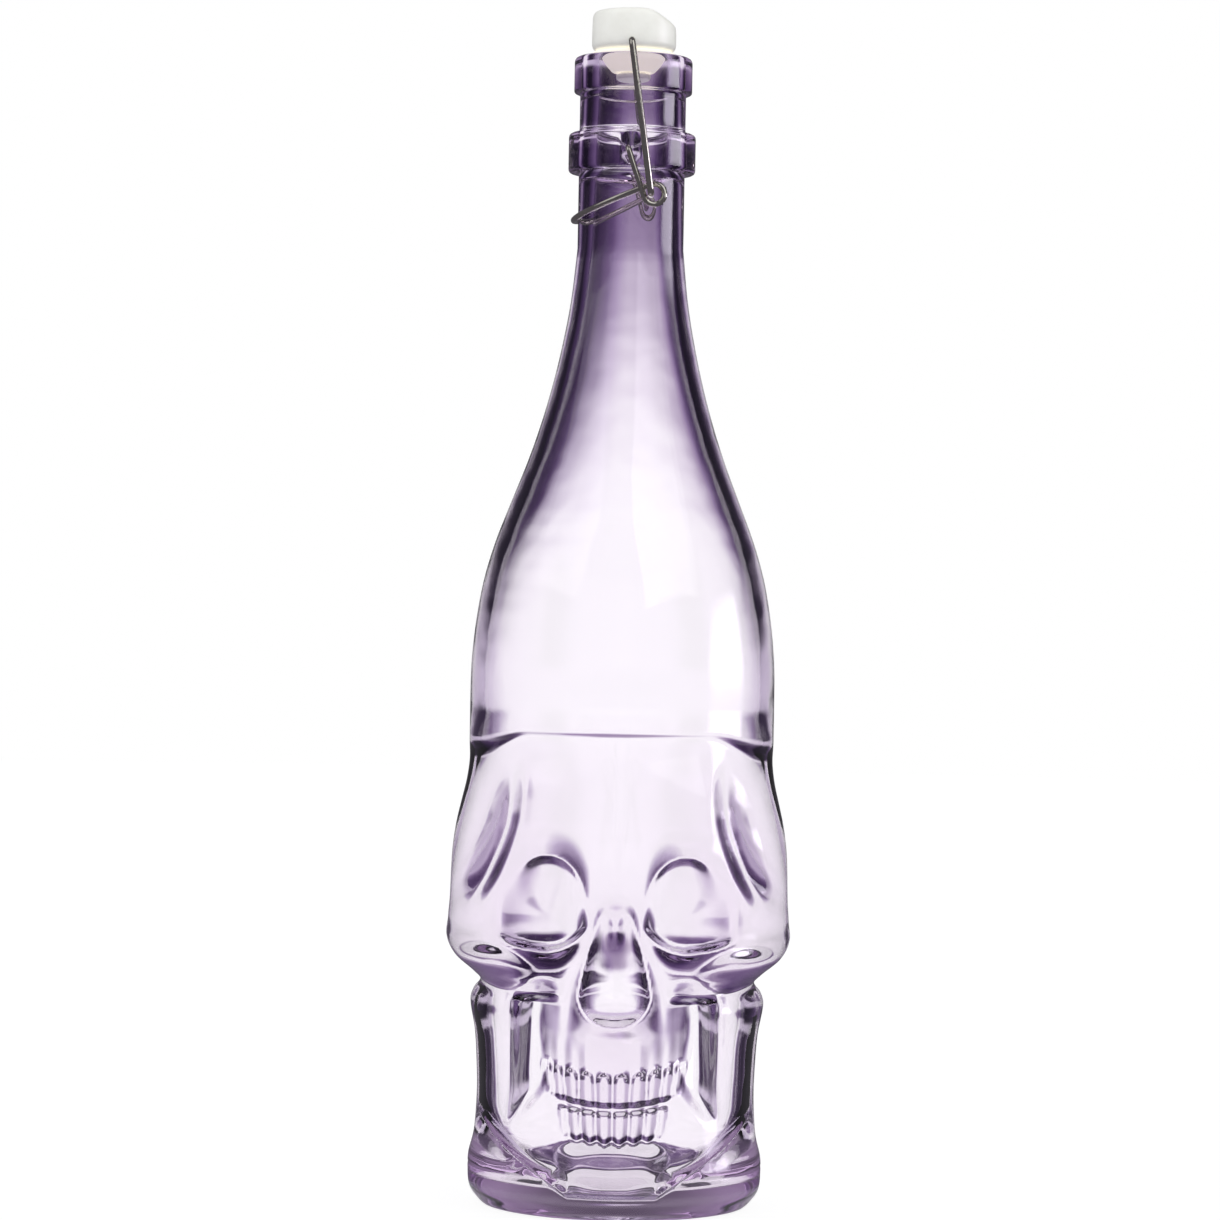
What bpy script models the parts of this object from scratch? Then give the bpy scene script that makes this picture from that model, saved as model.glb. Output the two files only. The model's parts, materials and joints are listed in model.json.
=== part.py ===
# Swing-top bottle moulded as a skull.
# Metres, +Z up. The bottle stands on z = 0 with its axis on +Z, and the face looks towards -Y.
# The closure's joint axes lie along Y.
import math

import bmesh
import bpy
from mathutils import Matrix, Vector

# Bottle, measured over the glass
glass_height = 0.305
skull_height = 0.1265
skull_half_width = 0.0453
skull_half_depth = 0.0470
barrel_radius = 0.04045
barrel_height = 0.0195
neck_radius = 0.0141
neck_length = 0.0510
lip_radius = 0.0157
lip_height = 0.0096
collar_radius = 0.0169
collar_height = 0.0106
collar_drop = 0.0256
collar_edge = 0.0015
bore_radius = 0.0092
bore_edge = 0.0008
wall = 0.0036
face_wall = 0.0048
floor_thickness = 0.0042
foot_outer_radius = 0.0325
foot_inner_radius = 0.0290
punt_rise = 0.0125
chamber_low = 0.0080
foot_edge = 0.0012
ring_height = 0.0115
ring_radius = 0.0390
waist_share = 0.945
dimple_radius = 0.0025
dimple_depth = 0.0026

# Skull relief
hairline_rise = 0.0006
hairline_step = 0.0009
hairline_width = 0.0020
temple_lower = 0.0022
temple_step = 0.0024
temple_start = 0.0230
temple_end = 0.0370
temple_drop = 0.0080
socket_offset = 0.0176
socket_middle = 0.0785
socket_inner_width = 0.0106
socket_outer_width = 0.0136
socket_top = 0.0160
socket_depth = 0.0086
socket_top_share = 0.55
socket_soft_power = 1.6
socket_crisp_power = 1.1
socket_shelf = 0.0708
shelf_inner_rise = 0.0062
shelf_outer_rise = 0.0030
shelf_half_height = 0.0024
brow_height = 0.0975
brow_half_height = 0.0042
brow_rise = 0.0016
bridge_half_width = 0.0075
bridge_height = 0.0830
bridge_half_height = 0.0140
bridge_rise = 0.0024
nose_middle = 0.0625
nose_half_width = 0.0092
nose_top = 0.0190
nose_bottom = 0.0115
nose_depth = 0.0078
nose_power = 1.0
nose_taper_share = 0.66
nose_top_share = 0.30
nose_bone_share = 0.85
nose_bone_half_width = 0.0032
nose_bone_end = 0.0740
nose_bone_blend = 0.0040
cheek_offset = 0.0325
cheek_height = 0.0645
cheek_half_width = 0.0130
cheek_half_height = 0.0072
cheek_rise = 0.0018
cheek_underside = 0.0578
underside_width = 0.0020
hollow_offset = 0.0205
hollow_inner = 0.0085
hollow_outer = 0.0095
hollow_depth = 0.0085
hollow_low_inner = 0.0315
hollow_low_outer = 0.0247
hollow_low_width = 0.0034
hollow_low_share = 0.45
jaws_middle = 0.0262
jaws_radius = 0.0195
jaws_blend = 0.0026
bite_height = 0.0302
bite_bow = 0.0030
bite_gap = 0.0006
gum_height = 0.0096
tooth_width = 0.0048
tooth_rise = 0.0022
tooth_roundness = 1.6
tooth_root_share = 0.15
chin_half_width = 0.0115
chin_height = 0.0140
chin_half_height = 0.0085
chin_rise = 0.0040
chin_flare_share = 0.25
chin_dimple = 0.0140
chin_dimple_radius = 0.0034
chin_dimple_depth = 0.0022
jaw_line_low = 0.0072
jaw_line_high = 0.0215
jaw_line_end = 0.0320
jaw_line_width = 0.0026
groove_depth = 0.0062
groove_inner = 0.0036
groove_outer = 0.0078
inner_groove_softness = 2.0
groove_top = 0.1150
groove_low = 0.0800
arch_bone_height = 0.0700
arch_bone_half_height = 0.0055
arch_bone_rise = 0.0004
ramus_back = 0.0080
ramus_blend = 0.0060
nape_depth = 0.0030
nape_height = 0.0380
nape_half_height = 0.0220
inner_grow = 0.0016
inner_rounds = 2
inner_square_share = 0.3
top_flat_share = 0.35
jaw_flat_share = 0.40
inner_nose_power = 0.9
inner_nose_share = 0.90
inner_hollow_share = 0.75
inner_groove_share = 0.30

# Closure
lever_wire_radius = 0.00080
bail_wire_radius = 0.00090
running_gap = 0.00035
lever_pivot_offset = 0.0008
eye_offset = 0.0062
eye_drop = 0.0121
eye_radius = 0.00275
eye_play = 0.00080
handle_slope = 0.405
hole_rise = 0.0034
hole_offset = 0.0004
head_radius = 0.0112
head_height = 0.0106
head_lift = 0.0017
head_edge = 0.0020
head_slope_drop = 0.0036
head_slope_reach = 0.0066
shank_radius = 0.0034
knob_radius = 0.0046
knob_thickness = 0.0013
seal_flange_radius = 0.0110
seal_depth = 0.0042
seal_tip_radius = 0.0056
bend_radius = 0.0018
bail_shoulder_drop = 0.0012

# Mesh densities
skull_columns = 64
upper_columns = 32
face_share = 0.40
chamber_share = 0.60
shoulder_rows = 13
inner_shoulder_rows = 8
edge_steps = 1
wire_sides_resolution = 2
eye_steps = 14
handle_steps = 12
bend_steps = 4
round_steps = 24
weld_distance = 1e-6
sharp_angle = math.radians(50)

# The skull's outline: share of the skull's height, then the half width as a share of its greatest
width_shares = [
    (0.090, 0.861), (0.134, 0.833), (0.174, 0.818), (0.240, 0.810), (0.300, 0.815),
    (0.364, 0.828), (0.427, 0.857), (0.450, 0.840), (0.472, 0.800), (0.492, 0.850),
    (0.522, 0.950), (0.565, 0.998), (0.601, 0.997), (0.640, 0.989), (0.727, 0.981),
    (0.767, 0.971), (0.806, 0.954), (0.846, 0.929), (0.890, 0.901), (0.933, 0.886),
    (0.972, 0.889), (1.000, 0.893),
]

# The depth in front of the axis and behind it, as shares of the skull's half depth
front_shares = [
    (0.055, 0.885), (0.134, 0.870), (0.200, 0.858), (0.265, 0.852), (0.360, 0.852),
    (0.420, 0.862), (0.480, 0.885), (0.560, 0.895), (0.650, 0.915), (0.720, 0.945),
    (0.765, 0.962), (0.820, 0.950), (0.890, 0.930), (0.950, 0.905), (1.000, 0.885),
]
back_shares = [
    (0.090, 0.830), (0.134, 0.812), (0.240, 0.805), (0.340, 0.825), (0.430, 0.885),
    (0.520, 0.960), (0.620, 0.998), (0.720, 1.000), (0.820, 0.965), (0.910, 0.915),
    (1.000, 0.872),
]

# The shoulder from barrel to neck: share of its height, then of the radius left above the neck's
shoulder_shares = [
    (0.000, 1.000), (0.083, 0.957), (0.185, 0.880), (0.283, 0.763), (0.380, 0.611),
    (0.481, 0.452), (0.580, 0.319), (0.676, 0.212), (0.778, 0.121), (0.876, 0.053),
    (1.000, 0.000),
]

# The groove behind the temple: share of its height, then how far out it lies, over the skull's half width
groove_shares = [(0.00, 0.810), (0.10, 0.775), (0.30, 0.694), (0.60, 0.604), (0.80, 0.580), (1.00, 0.568)]

# The barrel of the jaws: share of the skull's height, then of the barrel's greatest radius
jaws_shares = [(0.10, 0.70), (0.16, 0.80), (0.21, 0.87), (0.26, 0.92), (0.32, 0.96), (0.40, 1.00), (0.50, 0.98)]

# The dome under the bottle: share of the foot's inner radius, then of the dome's rise
punt_shares = [(0.00, 1.000), (0.30, 0.975), (0.52, 0.890), (0.70, 0.740), (0.84, 0.520), (0.94, 0.260)]

# The base ring: share of its height, then of its radius
ring_shares = [(0.00, 0.880), (0.12, 0.925), (0.40, 0.985), (0.85, 1.000), (1.00, 0.996)]

# Where the rows of the base ring lie, as shares of its height
ring_row_shares = [0.08, 0.24, 0.45, 0.65, 0.83]

# Where the rows of the skull lie, as shares of its height, each with the rows up to the next
skull_row_shares = [
    (0.091, 4), (0.155, 4), (0.214, 6), (0.267, 5), (0.370, 5), (0.450, 4), (0.510, 11),
    (0.760, 6), (0.985, 2),
]

# Where the rows of the chamber's wall lie, as shares of the skull's height
chamber_row_shares = [
    1.000, 0.930, 0.870, 0.810, 0.755, 0.710, 0.665, 0.620, 0.575, 0.530,
    0.485, 0.440, 0.390, 0.340, 0.290, 0.240, 0.190, 0.140, 0.105,
]


def clear_scene():
    for item in list(bpy.data.objects):
        bpy.data.objects.remove(item)


def soft_step(low, high, value):
    share = min(max((value - low) / (high - low), 0), 1)
    return share * share * (3 - 2 * share)


def curve_at(shares, place):
    """A smooth curve through a table of shares, read at a place."""
    count = len(shares)
    place = min(max(place, shares[0][0]), shares[-1][0])
    index = 0
    while index < count - 2 and place > shares[index + 1][0]:
        index += 1
    low, high = shares[index], shares[index + 1]
    before, after = shares[max(index - 1, 0)], shares[min(index + 2, count - 1)]
    span = high[0] - low[0]
    slope_low = (high[1] - before[1]) / (high[0] - before[0]) * span
    slope_high = (after[1] - low[1]) / (after[0] - low[0]) * span
    share = (place - low[0]) / span
    square, cube = share ** 2, share ** 3
    return (
        (2 * cube - 3 * square + 1) * low[1]
        + (cube - 2 * square + share) * slope_low
        + (3 * square - 2 * cube) * high[1]
        + (cube - square) * slope_high
    )


def dome(across, up, power=2.0):
    """A rounded bump: one in the middle, falling to zero at the edge of the unit oval."""
    edge = abs(across) ** power + abs(up) ** power
    return soft_step(0, 1, 1 - edge)


def dish(across, up, steepness):
    """A hollow with a crisp rim and a round floor."""
    edge = across ** 2 + up ** 2
    return max(1 - edge, 0) ** steepness


def ridge(distance, half_width):
    return 1 - soft_step(0, half_width, abs(distance))


def socket_relief(x, z, grow):
    """The eye socket: it slopes in from a crisp brow, and a curved shelf cuts it off below."""
    across = (x - socket_offset) / (grow + (socket_inner_width if x < socket_offset else socket_outer_width))
    up = max(z - socket_middle, 0) / (socket_top + grow)
    edge = math.hypot(across, up)
    crisp = soft_step(0.3, 0.9, up / edge) if up else 0
    bowl = dish(across, up, socket_soft_power + (socket_crisp_power - socket_soft_power) * crisp)
    rise = shelf_inner_rise if x < socket_offset else shelf_outer_rise
    shelf = socket_shelf - grow + rise * across ** 2
    fall = (socket_middle + socket_top - z) / (socket_middle + socket_top - shelf)
    cut = soft_step(shelf - shelf_half_height, shelf + shelf_half_height, z)
    slope = socket_top_share + (1 - socket_top_share) * min(max(fall, 0), 1)
    return socket_depth * bowl * cut * slope


def nose_relief(x, z, grow, power):
    """The nose: a pear-shaped opening, split at its top by the end of the nose bone."""
    half_height = nose_top if z > nose_middle else nose_bottom
    up = (z - nose_middle) / (half_height + grow)
    if up < 0:
        return nose_depth * dish(x / (nose_half_width + grow), up, power)
    half_width = grow + nose_half_width * (1 - nose_taper_share * up ** 1.3)
    bone = ridge(x, nose_bone_half_width) * (grow == 0)
    bone *= soft_step(nose_bone_end - nose_bone_blend, nose_bone_end + nose_bone_blend, z)
    top = 1 - soft_step(0.8, 1.05, up)
    depth = nose_depth * (1 - nose_top_share * up) * (1 - nose_bone_share * bone)
    return depth * dish(x / half_width, 0, power) * top


def hollow_relief(x, z, grow):
    """The hollow under the cheekbone, between the jaws and the upright of the jawbone."""
    reach = (hollow_inner if x < hollow_offset else hollow_outer) + grow
    side = 1 - soft_step(0, reach, abs(x - hollow_offset))
    top = 1 - soft_step(cheek_underside - underside_width, cheek_underside + underside_width, z)
    share = (x - hollow_offset) / hollow_outer
    low = hollow_low_inner + (hollow_low_outer - hollow_low_inner) * share
    fall = soft_step(low - hollow_low_width, low + hollow_low_width, z)
    slope = hollow_low_share + (1 - hollow_low_share) * soft_step(low, cheek_underside, z)
    return hollow_depth * side * top * fall * slope


def groove_place(x, z):
    """How far out from the groove behind the temple a place lies."""
    share = (z - groove_low) / (groove_top - groove_low)
    return x - skull_half_width * curve_at(groove_shares, min(max(share, 0), 1))


def groove_relief(x, z, softness):
    """The groove behind the temple's crest, steep on the brow's side and gentle outside."""
    across = groove_place(x, z)
    inner = soft_step(-groove_inner * softness, groove_inner * softness, across)
    outer = 1 - soft_step(0, groove_outer, across)
    top = 1 - soft_step(groove_top - groove_outer, groove_top + groove_outer * 0.6, z)
    low = soft_step(groove_low - groove_inner, groove_low + groove_outer, z)
    return groove_depth * inner * outer * top * low


def brow_relief(x, z):
    arc = brow_height - brow_half_height * ((x - socket_offset) / socket_inner_width) ** 2
    side = ridge(x - socket_offset, socket_outer_width * 1.2)
    return brow_rise * ridge(z - arc, brow_half_height) * side


def bridge_relief(x, z):
    return bridge_rise * ridge(x, bridge_half_width) * ridge(z - bridge_height, bridge_half_height)


def cheek_relief(x, z):
    return cheek_rise * dome((x - cheek_offset) / cheek_half_width, (z - cheek_height) / cheek_half_height)


def chin_relief(x, z):
    up = (z - chin_height) / chin_half_height
    half_width = chin_half_width * (1 + chin_flare_share * (1 + min(max(up, -1), 1)))
    mound = chin_rise * dome(x / half_width, up, 3.0)
    dimple = math.hypot(x - chin_dimple, z - jaw_line_low - chin_dimple_radius) / chin_dimple_radius
    return mound - chin_dimple_depth * (1 - soft_step(0, 1, dimple))


def jaw_line(x):
    """The height of the jaw's lower edge, from the chin out to its corner."""
    share = (x - chin_half_width) / (jaw_line_end - chin_half_width)
    return jaw_line_low + (jaw_line_high - jaw_line_low) * max(share, 0)


def tooth_lift(turn, z, bite):
    """How far a tooth stands out at a turn round the jaws, with the gums beyond its row."""
    up = abs(z - bite)
    share = abs(2 * (turn * jaws_radius / tooth_width % 1) - 1)
    gum = gum_height * (1 - 0.16 * share)
    row = soft_step(bite_gap * 0.4, bite_gap * 3, up) * (1 - soft_step(gum * 0.84, gum * 1.08, up))
    root = (1 - soft_step(gum, gum * 2, up)) * (1 - row)
    crown = 1 - share ** tooth_roundness
    return tooth_rise * (crown * row + tooth_root_share * (1 - share ** 2) * root)


def jaws_front(x, z):
    """How far forward the barrel of the jaws stands, with its teeth, or None beside it."""
    bite = bite_height + bite_bow * (x / jaws_radius) ** 2
    radius = jaws_radius * curve_at(jaws_shares, z / skull_height)
    if x >= radius:
        return None
    turn = math.asin(x / radius)
    radius += tooth_lift(turn, z, bite) * (1 - soft_step(0.96, 1, x / radius))
    return jaws_middle + math.sqrt(max(radius ** 2 - x ** 2, 0))


def soft_larger(first, second, blend):
    """The larger of two, rounded where they meet."""
    gap = max(blend - abs(first - second), 0) / blend
    return max(first, second) + gap * gap * blend / 4


def front_depth(x, depth, z):
    """The finished depth of the face at a place, given that of the plain outline."""
    nose = nose_relief(x, z, 0, nose_power)
    bumps = brow_relief(x, z) + bridge_relief(x, z) + cheek_relief(x, z) + chin_relief(x, z)
    depth += bumps - socket_relief(x, z, 0) - hollow_relief(x, z, 0) - groove_relief(x, z, 1) - nose
    jaws = jaws_front(x, z)
    if jaws is None:
        return depth
    fade = 1 - soft_step(cheek_underside - underside_width * 6, cheek_underside + underside_width * 6, z)
    low = soft_step(chin_height, gum_height * 2, z)
    return depth + (soft_larger(depth, jaws - nose, jaws_blend) - depth) * fade * low


def inner_depth(x, depth, z):
    """The chamber's wall behind the face, which only the larger hollows reach."""
    nose = nose_relief(x, z, inner_grow, inner_nose_power) * inner_nose_share
    hollows = max(socket_relief(x, z, inner_grow), nose)
    hollows += hollow_relief(x, z, inner_grow) * inner_hollow_share
    hollows += groove_relief(x, z, inner_groove_softness) * inner_groove_share
    return depth - (face_wall - wall) - hollows


def side_relief(y, z):
    """How far the sides draw in behind the jaw's upright, and stand out along the cheekbone's arch."""
    behind = soft_step(ramus_back - ramus_blend, ramus_back + ramus_blend, y)
    nape = dome(0, (z - nape_height) / nape_half_height, 4.0)
    arch = ridge(z - arch_bone_height, arch_bone_half_height) * (1 - soft_step(0, ramus_back * 2, y))
    return nape_depth * behind * nape - arch_bone_rise * arch


def plain_outline(angle, z, squareness):
    """A point of the skull's plain outline, before any relief."""
    place = z / skull_height
    ahead = max(math.cos(angle), 0)
    half_width = skull_half_width * curve_at(width_shares, place)
    depth = skull_half_depth * curve_at(front_shares if ahead else back_shares, place)
    ring = ring_radius * (curve_at(ring_shares, z / ring_height) if z < ring_height else 1)
    ring -= (ring - waist_share * ring_radius) * soft_step(ring_height, ring_height * 2, z)
    line = jaw_line(ring_radius * abs(math.sin(angle)))
    low, high = ring_height * 1.1, ring_height * 1.9
    low += (line - jaw_line_width - low) * soft_step(0.1, 0.5, ahead)
    high += (line + jaw_line_width - high) * soft_step(0.1, 0.5, ahead)
    blend = soft_step(low, high, z)
    flat = top_flat_share * (1 - soft_step(0.85, 1, place)) + jaw_flat_share * (1 - soft_step(0.4, 0.5, place))
    power = 2 + flat * ahead * blend * squareness
    across, along = math.sin(angle), -math.cos(angle)
    reach = (abs(across / half_width) ** power + abs(along / depth) ** power) ** (-1 / power)
    reach = ring + (reach - ring) * blend
    return across * reach, along * reach, blend


def hairline_shift(angle, z):
    """How far the rows near the top of the skull rise towards the middle of the brow."""
    near = soft_step(skull_height * 0.75, skull_height, z)
    ahead = max(math.cos(angle), 0)
    return hairline_rise * near * soft_step(0.15, 0.75, ahead) * ridge(z - skull_height, skull_height * 0.25)


def hairline_relief(x, z):
    """How far the skull stands back under the barrel, more so above the temples."""
    share = soft_step(temple_start, temple_end, x)
    width = hairline_width + (temple_drop - hairline_width) * share
    step = hairline_step + (temple_step - hairline_step) * share
    line = skull_height - temple_lower * share
    return step * (1 - soft_step(line - width, line, z)) * soft_step(groove_low, groove_top, z)


def skull_point(angle, z):
    """A point of the skull's outer surface."""
    x, y, blend = plain_outline(angle, z, 1)
    ahead = soft_step(0.05, 0.35, math.cos(angle)) * blend
    if ahead:
        y -= (front_depth(abs(x), -y, z) + y) * ahead
    x *= 1 - side_relief(y, z) * blend / skull_half_width
    y = max(y + hairline_relief(abs(x), z) * ahead, -skull_half_depth)
    return Vector((x, y, z + hairline_shift(angle, z)))


def inner_point(angle, z):
    """A point of the chamber's wall, which follows the skull at one thickness of glass."""
    x, y, blend = plain_outline(angle, z, inner_square_share)
    scale = 1 - wall / math.hypot(x, y)
    x, y = x * scale, y * scale
    ahead = soft_step(0.0, 0.3, math.cos(angle)) * blend
    if ahead:
        y -= (inner_depth(abs(x), -y, z) + y) * ahead
    x *= 1 - side_relief(y, z) * blend / skull_half_width
    return Vector((x, y, z))


def spread_angle(angle, share):
    """Columns stand closer together over the face than at the back, where a share is below one."""
    turn = angle / math.pi
    return math.pi * (share * turn + (1 - share) * turn ** 3)


def spin_profile(outline, columns):
    """Turn an outline of (radius, height) pairs about the Z axis."""
    mesh = bmesh.new()
    verts = [mesh.verts.new((0, -radius, height)) for radius, height in outline]
    edges = [mesh.edges.new(pair) for pair in zip(verts, verts[1:])]
    bmesh.ops.spin(
        mesh,
        geom=verts + edges,
        cent=(0, 0, 0),
        axis=(0, 0, 1),
        dvec=(0, 0, 0),
        angle=2 * math.pi,
        steps=columns,
        use_merge=True,
    )
    bmesh.ops.remove_doubles(mesh, verts=mesh.verts[:], dist=weld_distance)
    return mesh


def finish_mesh(mesh, name, material, origin=(0, 0, 0)):
    """Make an object of a closed mesh, with its origin at a named point."""
    bmesh.ops.recalc_face_normals(mesh, faces=mesh.faces[:])
    data = bpy.data.meshes.new(name)
    bmesh.ops.translate(mesh, verts=mesh.verts[:], vec=-Vector(origin))
    mesh.to_mesh(data)
    mesh.free()
    data.shade_smooth()
    data.set_sharp_from_angle(angle=sharp_angle)
    data.materials.append(material)
    item = bpy.data.objects.new(name, data)
    item.location = origin
    bpy.context.collection.objects.link(item)
    return item


def make_material(name, colour, roughness, metallic=0, transmission=0):
    material = bpy.data.materials.new(name)
    material.use_nodes = True
    shader = material.node_tree.nodes["Principled BSDF"]
    shader.inputs["Base Color"].default_value = (*colour, 1)
    shader.inputs["Roughness"].default_value = roughness
    shader.inputs["Metallic"].default_value = metallic
    shader.inputs["Transmission Weight"].default_value = transmission
    return material


def rounded(outline, radius, steps=edge_steps):
    """An outline with every inner corner rounded to a radius, or less where a run is short."""
    points = [Vector(point) for point in outline]
    path = [points[0]]
    for before, corner, after in zip(points, points[1:], points[2:]):
        back, ahead = before - corner, after - corner
        reach = min(radius, back.length * 0.45, ahead.length * 0.45)
        start, end = corner + back.normalized() * reach, corner + ahead.normalized() * reach
        for step in range(steps + 1):
            share = step / steps
            path.append(start.lerp(corner, share).lerp(corner.lerp(end, share), share))
    path.append(points[-1])
    return [tuple(point) for point in path]


def skull_rows():
    """Heights of the skull's rows, closer together at the teeth and the cheekbone."""
    rows = []
    for (low, count), (high, _) in zip(skull_row_shares, skull_row_shares[1:] + [(1, 0)]):
        rows += [skull_height * (low + (high - low) * step / count) for step in range(count)]
    return rows + [skull_height]


def punt_outline(rise):
    """The dome under the bottle, from its middle out to the foot, lifted by a thickness."""
    return [(foot_inner_radius * radius, punt_rise * height + rise) for radius, height in punt_shares]


def base_outline():
    """The underside and the base ring, from the middle outwards."""
    ring = [(ring_radius * curve_at(ring_shares, share), ring_height * share) for share in ring_row_shares]
    punt = punt_outline(0)
    foot = [punt[-1], (foot_inner_radius, 0), (foot_outer_radius, 0), ring[0]]
    return punt + rounded(foot, foot_edge)[1:] + ring[1:]


def shoulder_outline(count):
    """The barrel and the shoulder up to the neck."""
    low = skull_height + barrel_height
    high = glass_height - neck_length
    outline = []
    for step in range(count + 1):
        share = step / count
        radius = neck_radius + (barrel_radius - neck_radius) * curve_at(shoulder_shares, share)
        outline.append((radius, low + (high - low) * share))
    return outline


def inner_shoulder_outline(count):
    """The inside of the shoulder, where the wall thickens towards the bore."""
    outline = []
    thicker = neck_radius - bore_radius - wall
    for step, (radius, height) in enumerate(shoulder_outline(count)):
        outline.append((radius - wall - thicker * soft_step(0.6, 1, step / count), height))
    return outline


def collar_outline():
    middle = glass_height - collar_drop
    low, high = middle - collar_height / 2, middle + collar_height / 2
    return [
        (neck_radius, low),
        (collar_radius, low),
        (collar_radius, high),
        (neck_radius, high),
    ]


def lip_outline():
    low = glass_height - lip_height
    return [
        (neck_radius, low),
        (lip_radius, low),
        (lip_radius, glass_height),
        (bore_radius, glass_height),
        (bore_radius, glass_height - lip_height),
    ]


def upper_outline():
    """Everything above the skull: barrel, shoulder, neck, collar, lip and bore."""
    first = skull_height + barrel_height * 0.35
    outline = [(barrel_radius, first), (barrel_radius, skull_height + barrel_height * 0.7)]
    outline += shoulder_outline(shoulder_rows)
    outline += rounded(collar_outline() + lip_outline(), collar_edge)
    return outline + inner_shoulder_outline(inner_shoulder_rows)[::-1]


def chamber_outline():
    """The chamber inside the skull, from the barrel down to the middle of its floor."""
    outline = [(barrel_radius - wall, skull_height * share) for share in chamber_row_shares]
    radius = ring_radius * waist_share - wall
    floor = punt_outline(floor_thickness)[::-1]
    corner = [(radius, ring_height), (radius, chamber_low), (radius * 0.84, chamber_low), floor[0]]
    return outline + rounded(corner, wall)[1:] + floor[1:]


def turn_point(point, share):
    """The angle of a spun point from straight ahead, respread over the columns."""
    return spread_angle(math.atan2(point.x, -point.y), share)


def place_round(vert, share):
    angle = turn_point(vert.co, share)
    radius = math.hypot(vert.co.x, vert.co.y)
    vert.co = Vector((math.sin(angle) * radius, -math.cos(angle) * radius, vert.co.z))


def shape_skull():
    """The outside of the skull, with the base ring and the underside."""
    skull = spin_profile(base_outline() + [(ring_radius, height) for height in skull_rows()], skull_columns)
    for vert in skull.verts:
        radius = math.hypot(vert.co.x, vert.co.y)
        if vert.co.z > jaw_line_low * 0.5 and radius > foot_outer_radius:
            vert.co = skull_point(turn_point(vert.co, face_share), vert.co.z)
        elif radius > weld_distance:
            place_round(vert, face_share)
    return skull


def shape_upper():
    """Everything above the skull, and the chamber down to its floor."""
    upper = spin_profile(upper_outline() + chamber_outline(), upper_columns)
    chamber = []
    for vert in upper.verts:
        radius = math.hypot(vert.co.x, vert.co.y)
        inside = abs(radius - barrel_radius + wall) < weld_distance
        if inside and vert.co.z < skull_height + weld_distance:
            vert.co = inner_point(turn_point(vert.co, chamber_share), vert.co.z)
            chamber.append(vert)
        elif radius > weld_distance:
            place_round(vert, chamber_share)
    for _ in range(inner_rounds):
        bmesh.ops.smooth_vert(upper, verts=chamber, factor=0.5, use_axis_x=True, use_axis_y=True, use_axis_z=True)
    return upper


def make_bottle(material):
    """The one moulded piece of glass: skull, shoulder, neck, collar and lip round a hollow."""
    skull = shape_skull()
    upper = shape_upper()
    data = bpy.data.meshes.new("upper")
    upper.to_mesh(data)
    upper.free()
    skull.from_mesh(data)
    bpy.data.meshes.remove(data)
    boundary = [edge for edge in skull.edges if edge.is_boundary]
    bmesh.ops.bridge_loops(skull, edges=boundary)
    bmesh.ops.triangulate(skull, faces=[face for face in skull.faces if len(face.verts) > 4])
    bottle = finish_mesh(skull, "bottle_glass", material)
    for side in (-1, 1):
        add_cut(bottle, dimple_cutter(side))
    return bottle


def dimple_cutter(side):
    """A round-bottomed cup in the collar, for one end of the lever wire."""
    mesh = bmesh.new()
    bmesh.ops.create_cone(
        mesh,
        cap_ends=True,
        segments=round_steps // 2,
        radius1=dimple_radius,
        radius2=dimple_radius * 0.8,
        depth=dimple_depth * 2,
    )
    turn = Matrix.Rotation(-side * math.pi / 2, 4, "X")
    place = Matrix.Translation((0, side * collar_radius, glass_height - collar_drop))
    bmesh.ops.transform(mesh, matrix=place @ turn.inverted(), verts=mesh.verts[:])
    return finish_cutter(mesh, "dimple_cutter")


def finish_cutter(mesh, name):
    bmesh.ops.recalc_face_normals(mesh, faces=mesh.faces[:])
    data = bpy.data.meshes.new(name)
    mesh.to_mesh(data)
    mesh.free()
    item = bpy.data.objects.new(name, data)
    item.hide_render = True
    item.display_type = "WIRE"
    bpy.context.collection.objects.link(item)
    return item


def add_cut(item, cutter):
    cut = item.modifiers.new("cut", "BOOLEAN")
    cut.operation = "DIFFERENCE"
    cut.solver = "EXACT"
    cut.object = cutter


# Places of the closure's joints
pivot = Vector((-lever_pivot_offset, 0, glass_height - collar_drop))
eye_pin = pivot + Vector((eye_offset, 0, -eye_drop))
eye_middle = eye_pin + Vector((eye_play, 0, 0))
hole = Vector((-hole_offset, 0, glass_height + hole_rise))

# How far the wires stand off the axis along Y
lever_plane = max(collar_radius, lip_radius) + lever_wire_radius + running_gap
arm_plane = lever_plane - 2 * lever_wire_radius - running_gap
bail_plane = lever_plane + lever_wire_radius + bail_wire_radius + running_gap
pin_reach = collar_radius - dimple_depth + running_gap + lever_wire_radius / 2
bail_pin_reach = arm_plane - lever_wire_radius - running_gap


def fillet_path(points, radius):
    """A path of straight runs, with an arc at each inner corner."""
    path = [points[0]]
    for before, corner, after in zip(points, points[1:], points[2:]):
        back, ahead = (before - corner), (after - corner)
        half = back.angle(ahead) / 2
        reach = min(radius / math.tan(half), back.length / 2, ahead.length / 2)
        start, end = corner + back.normalized() * reach, corner + ahead.normalized() * reach
        for step in range(bend_steps + 1):
            share = step / bend_steps
            path.append(start.lerp(corner, share).lerp(corner.lerp(end, share), share))
    path.append(points[-1])
    return path


def mirror_path(path):
    """The same path on the other side of the bottle, walked back."""
    return [Vector((point.x, -point.y, point.z)) for point in reversed(path)]


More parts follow.
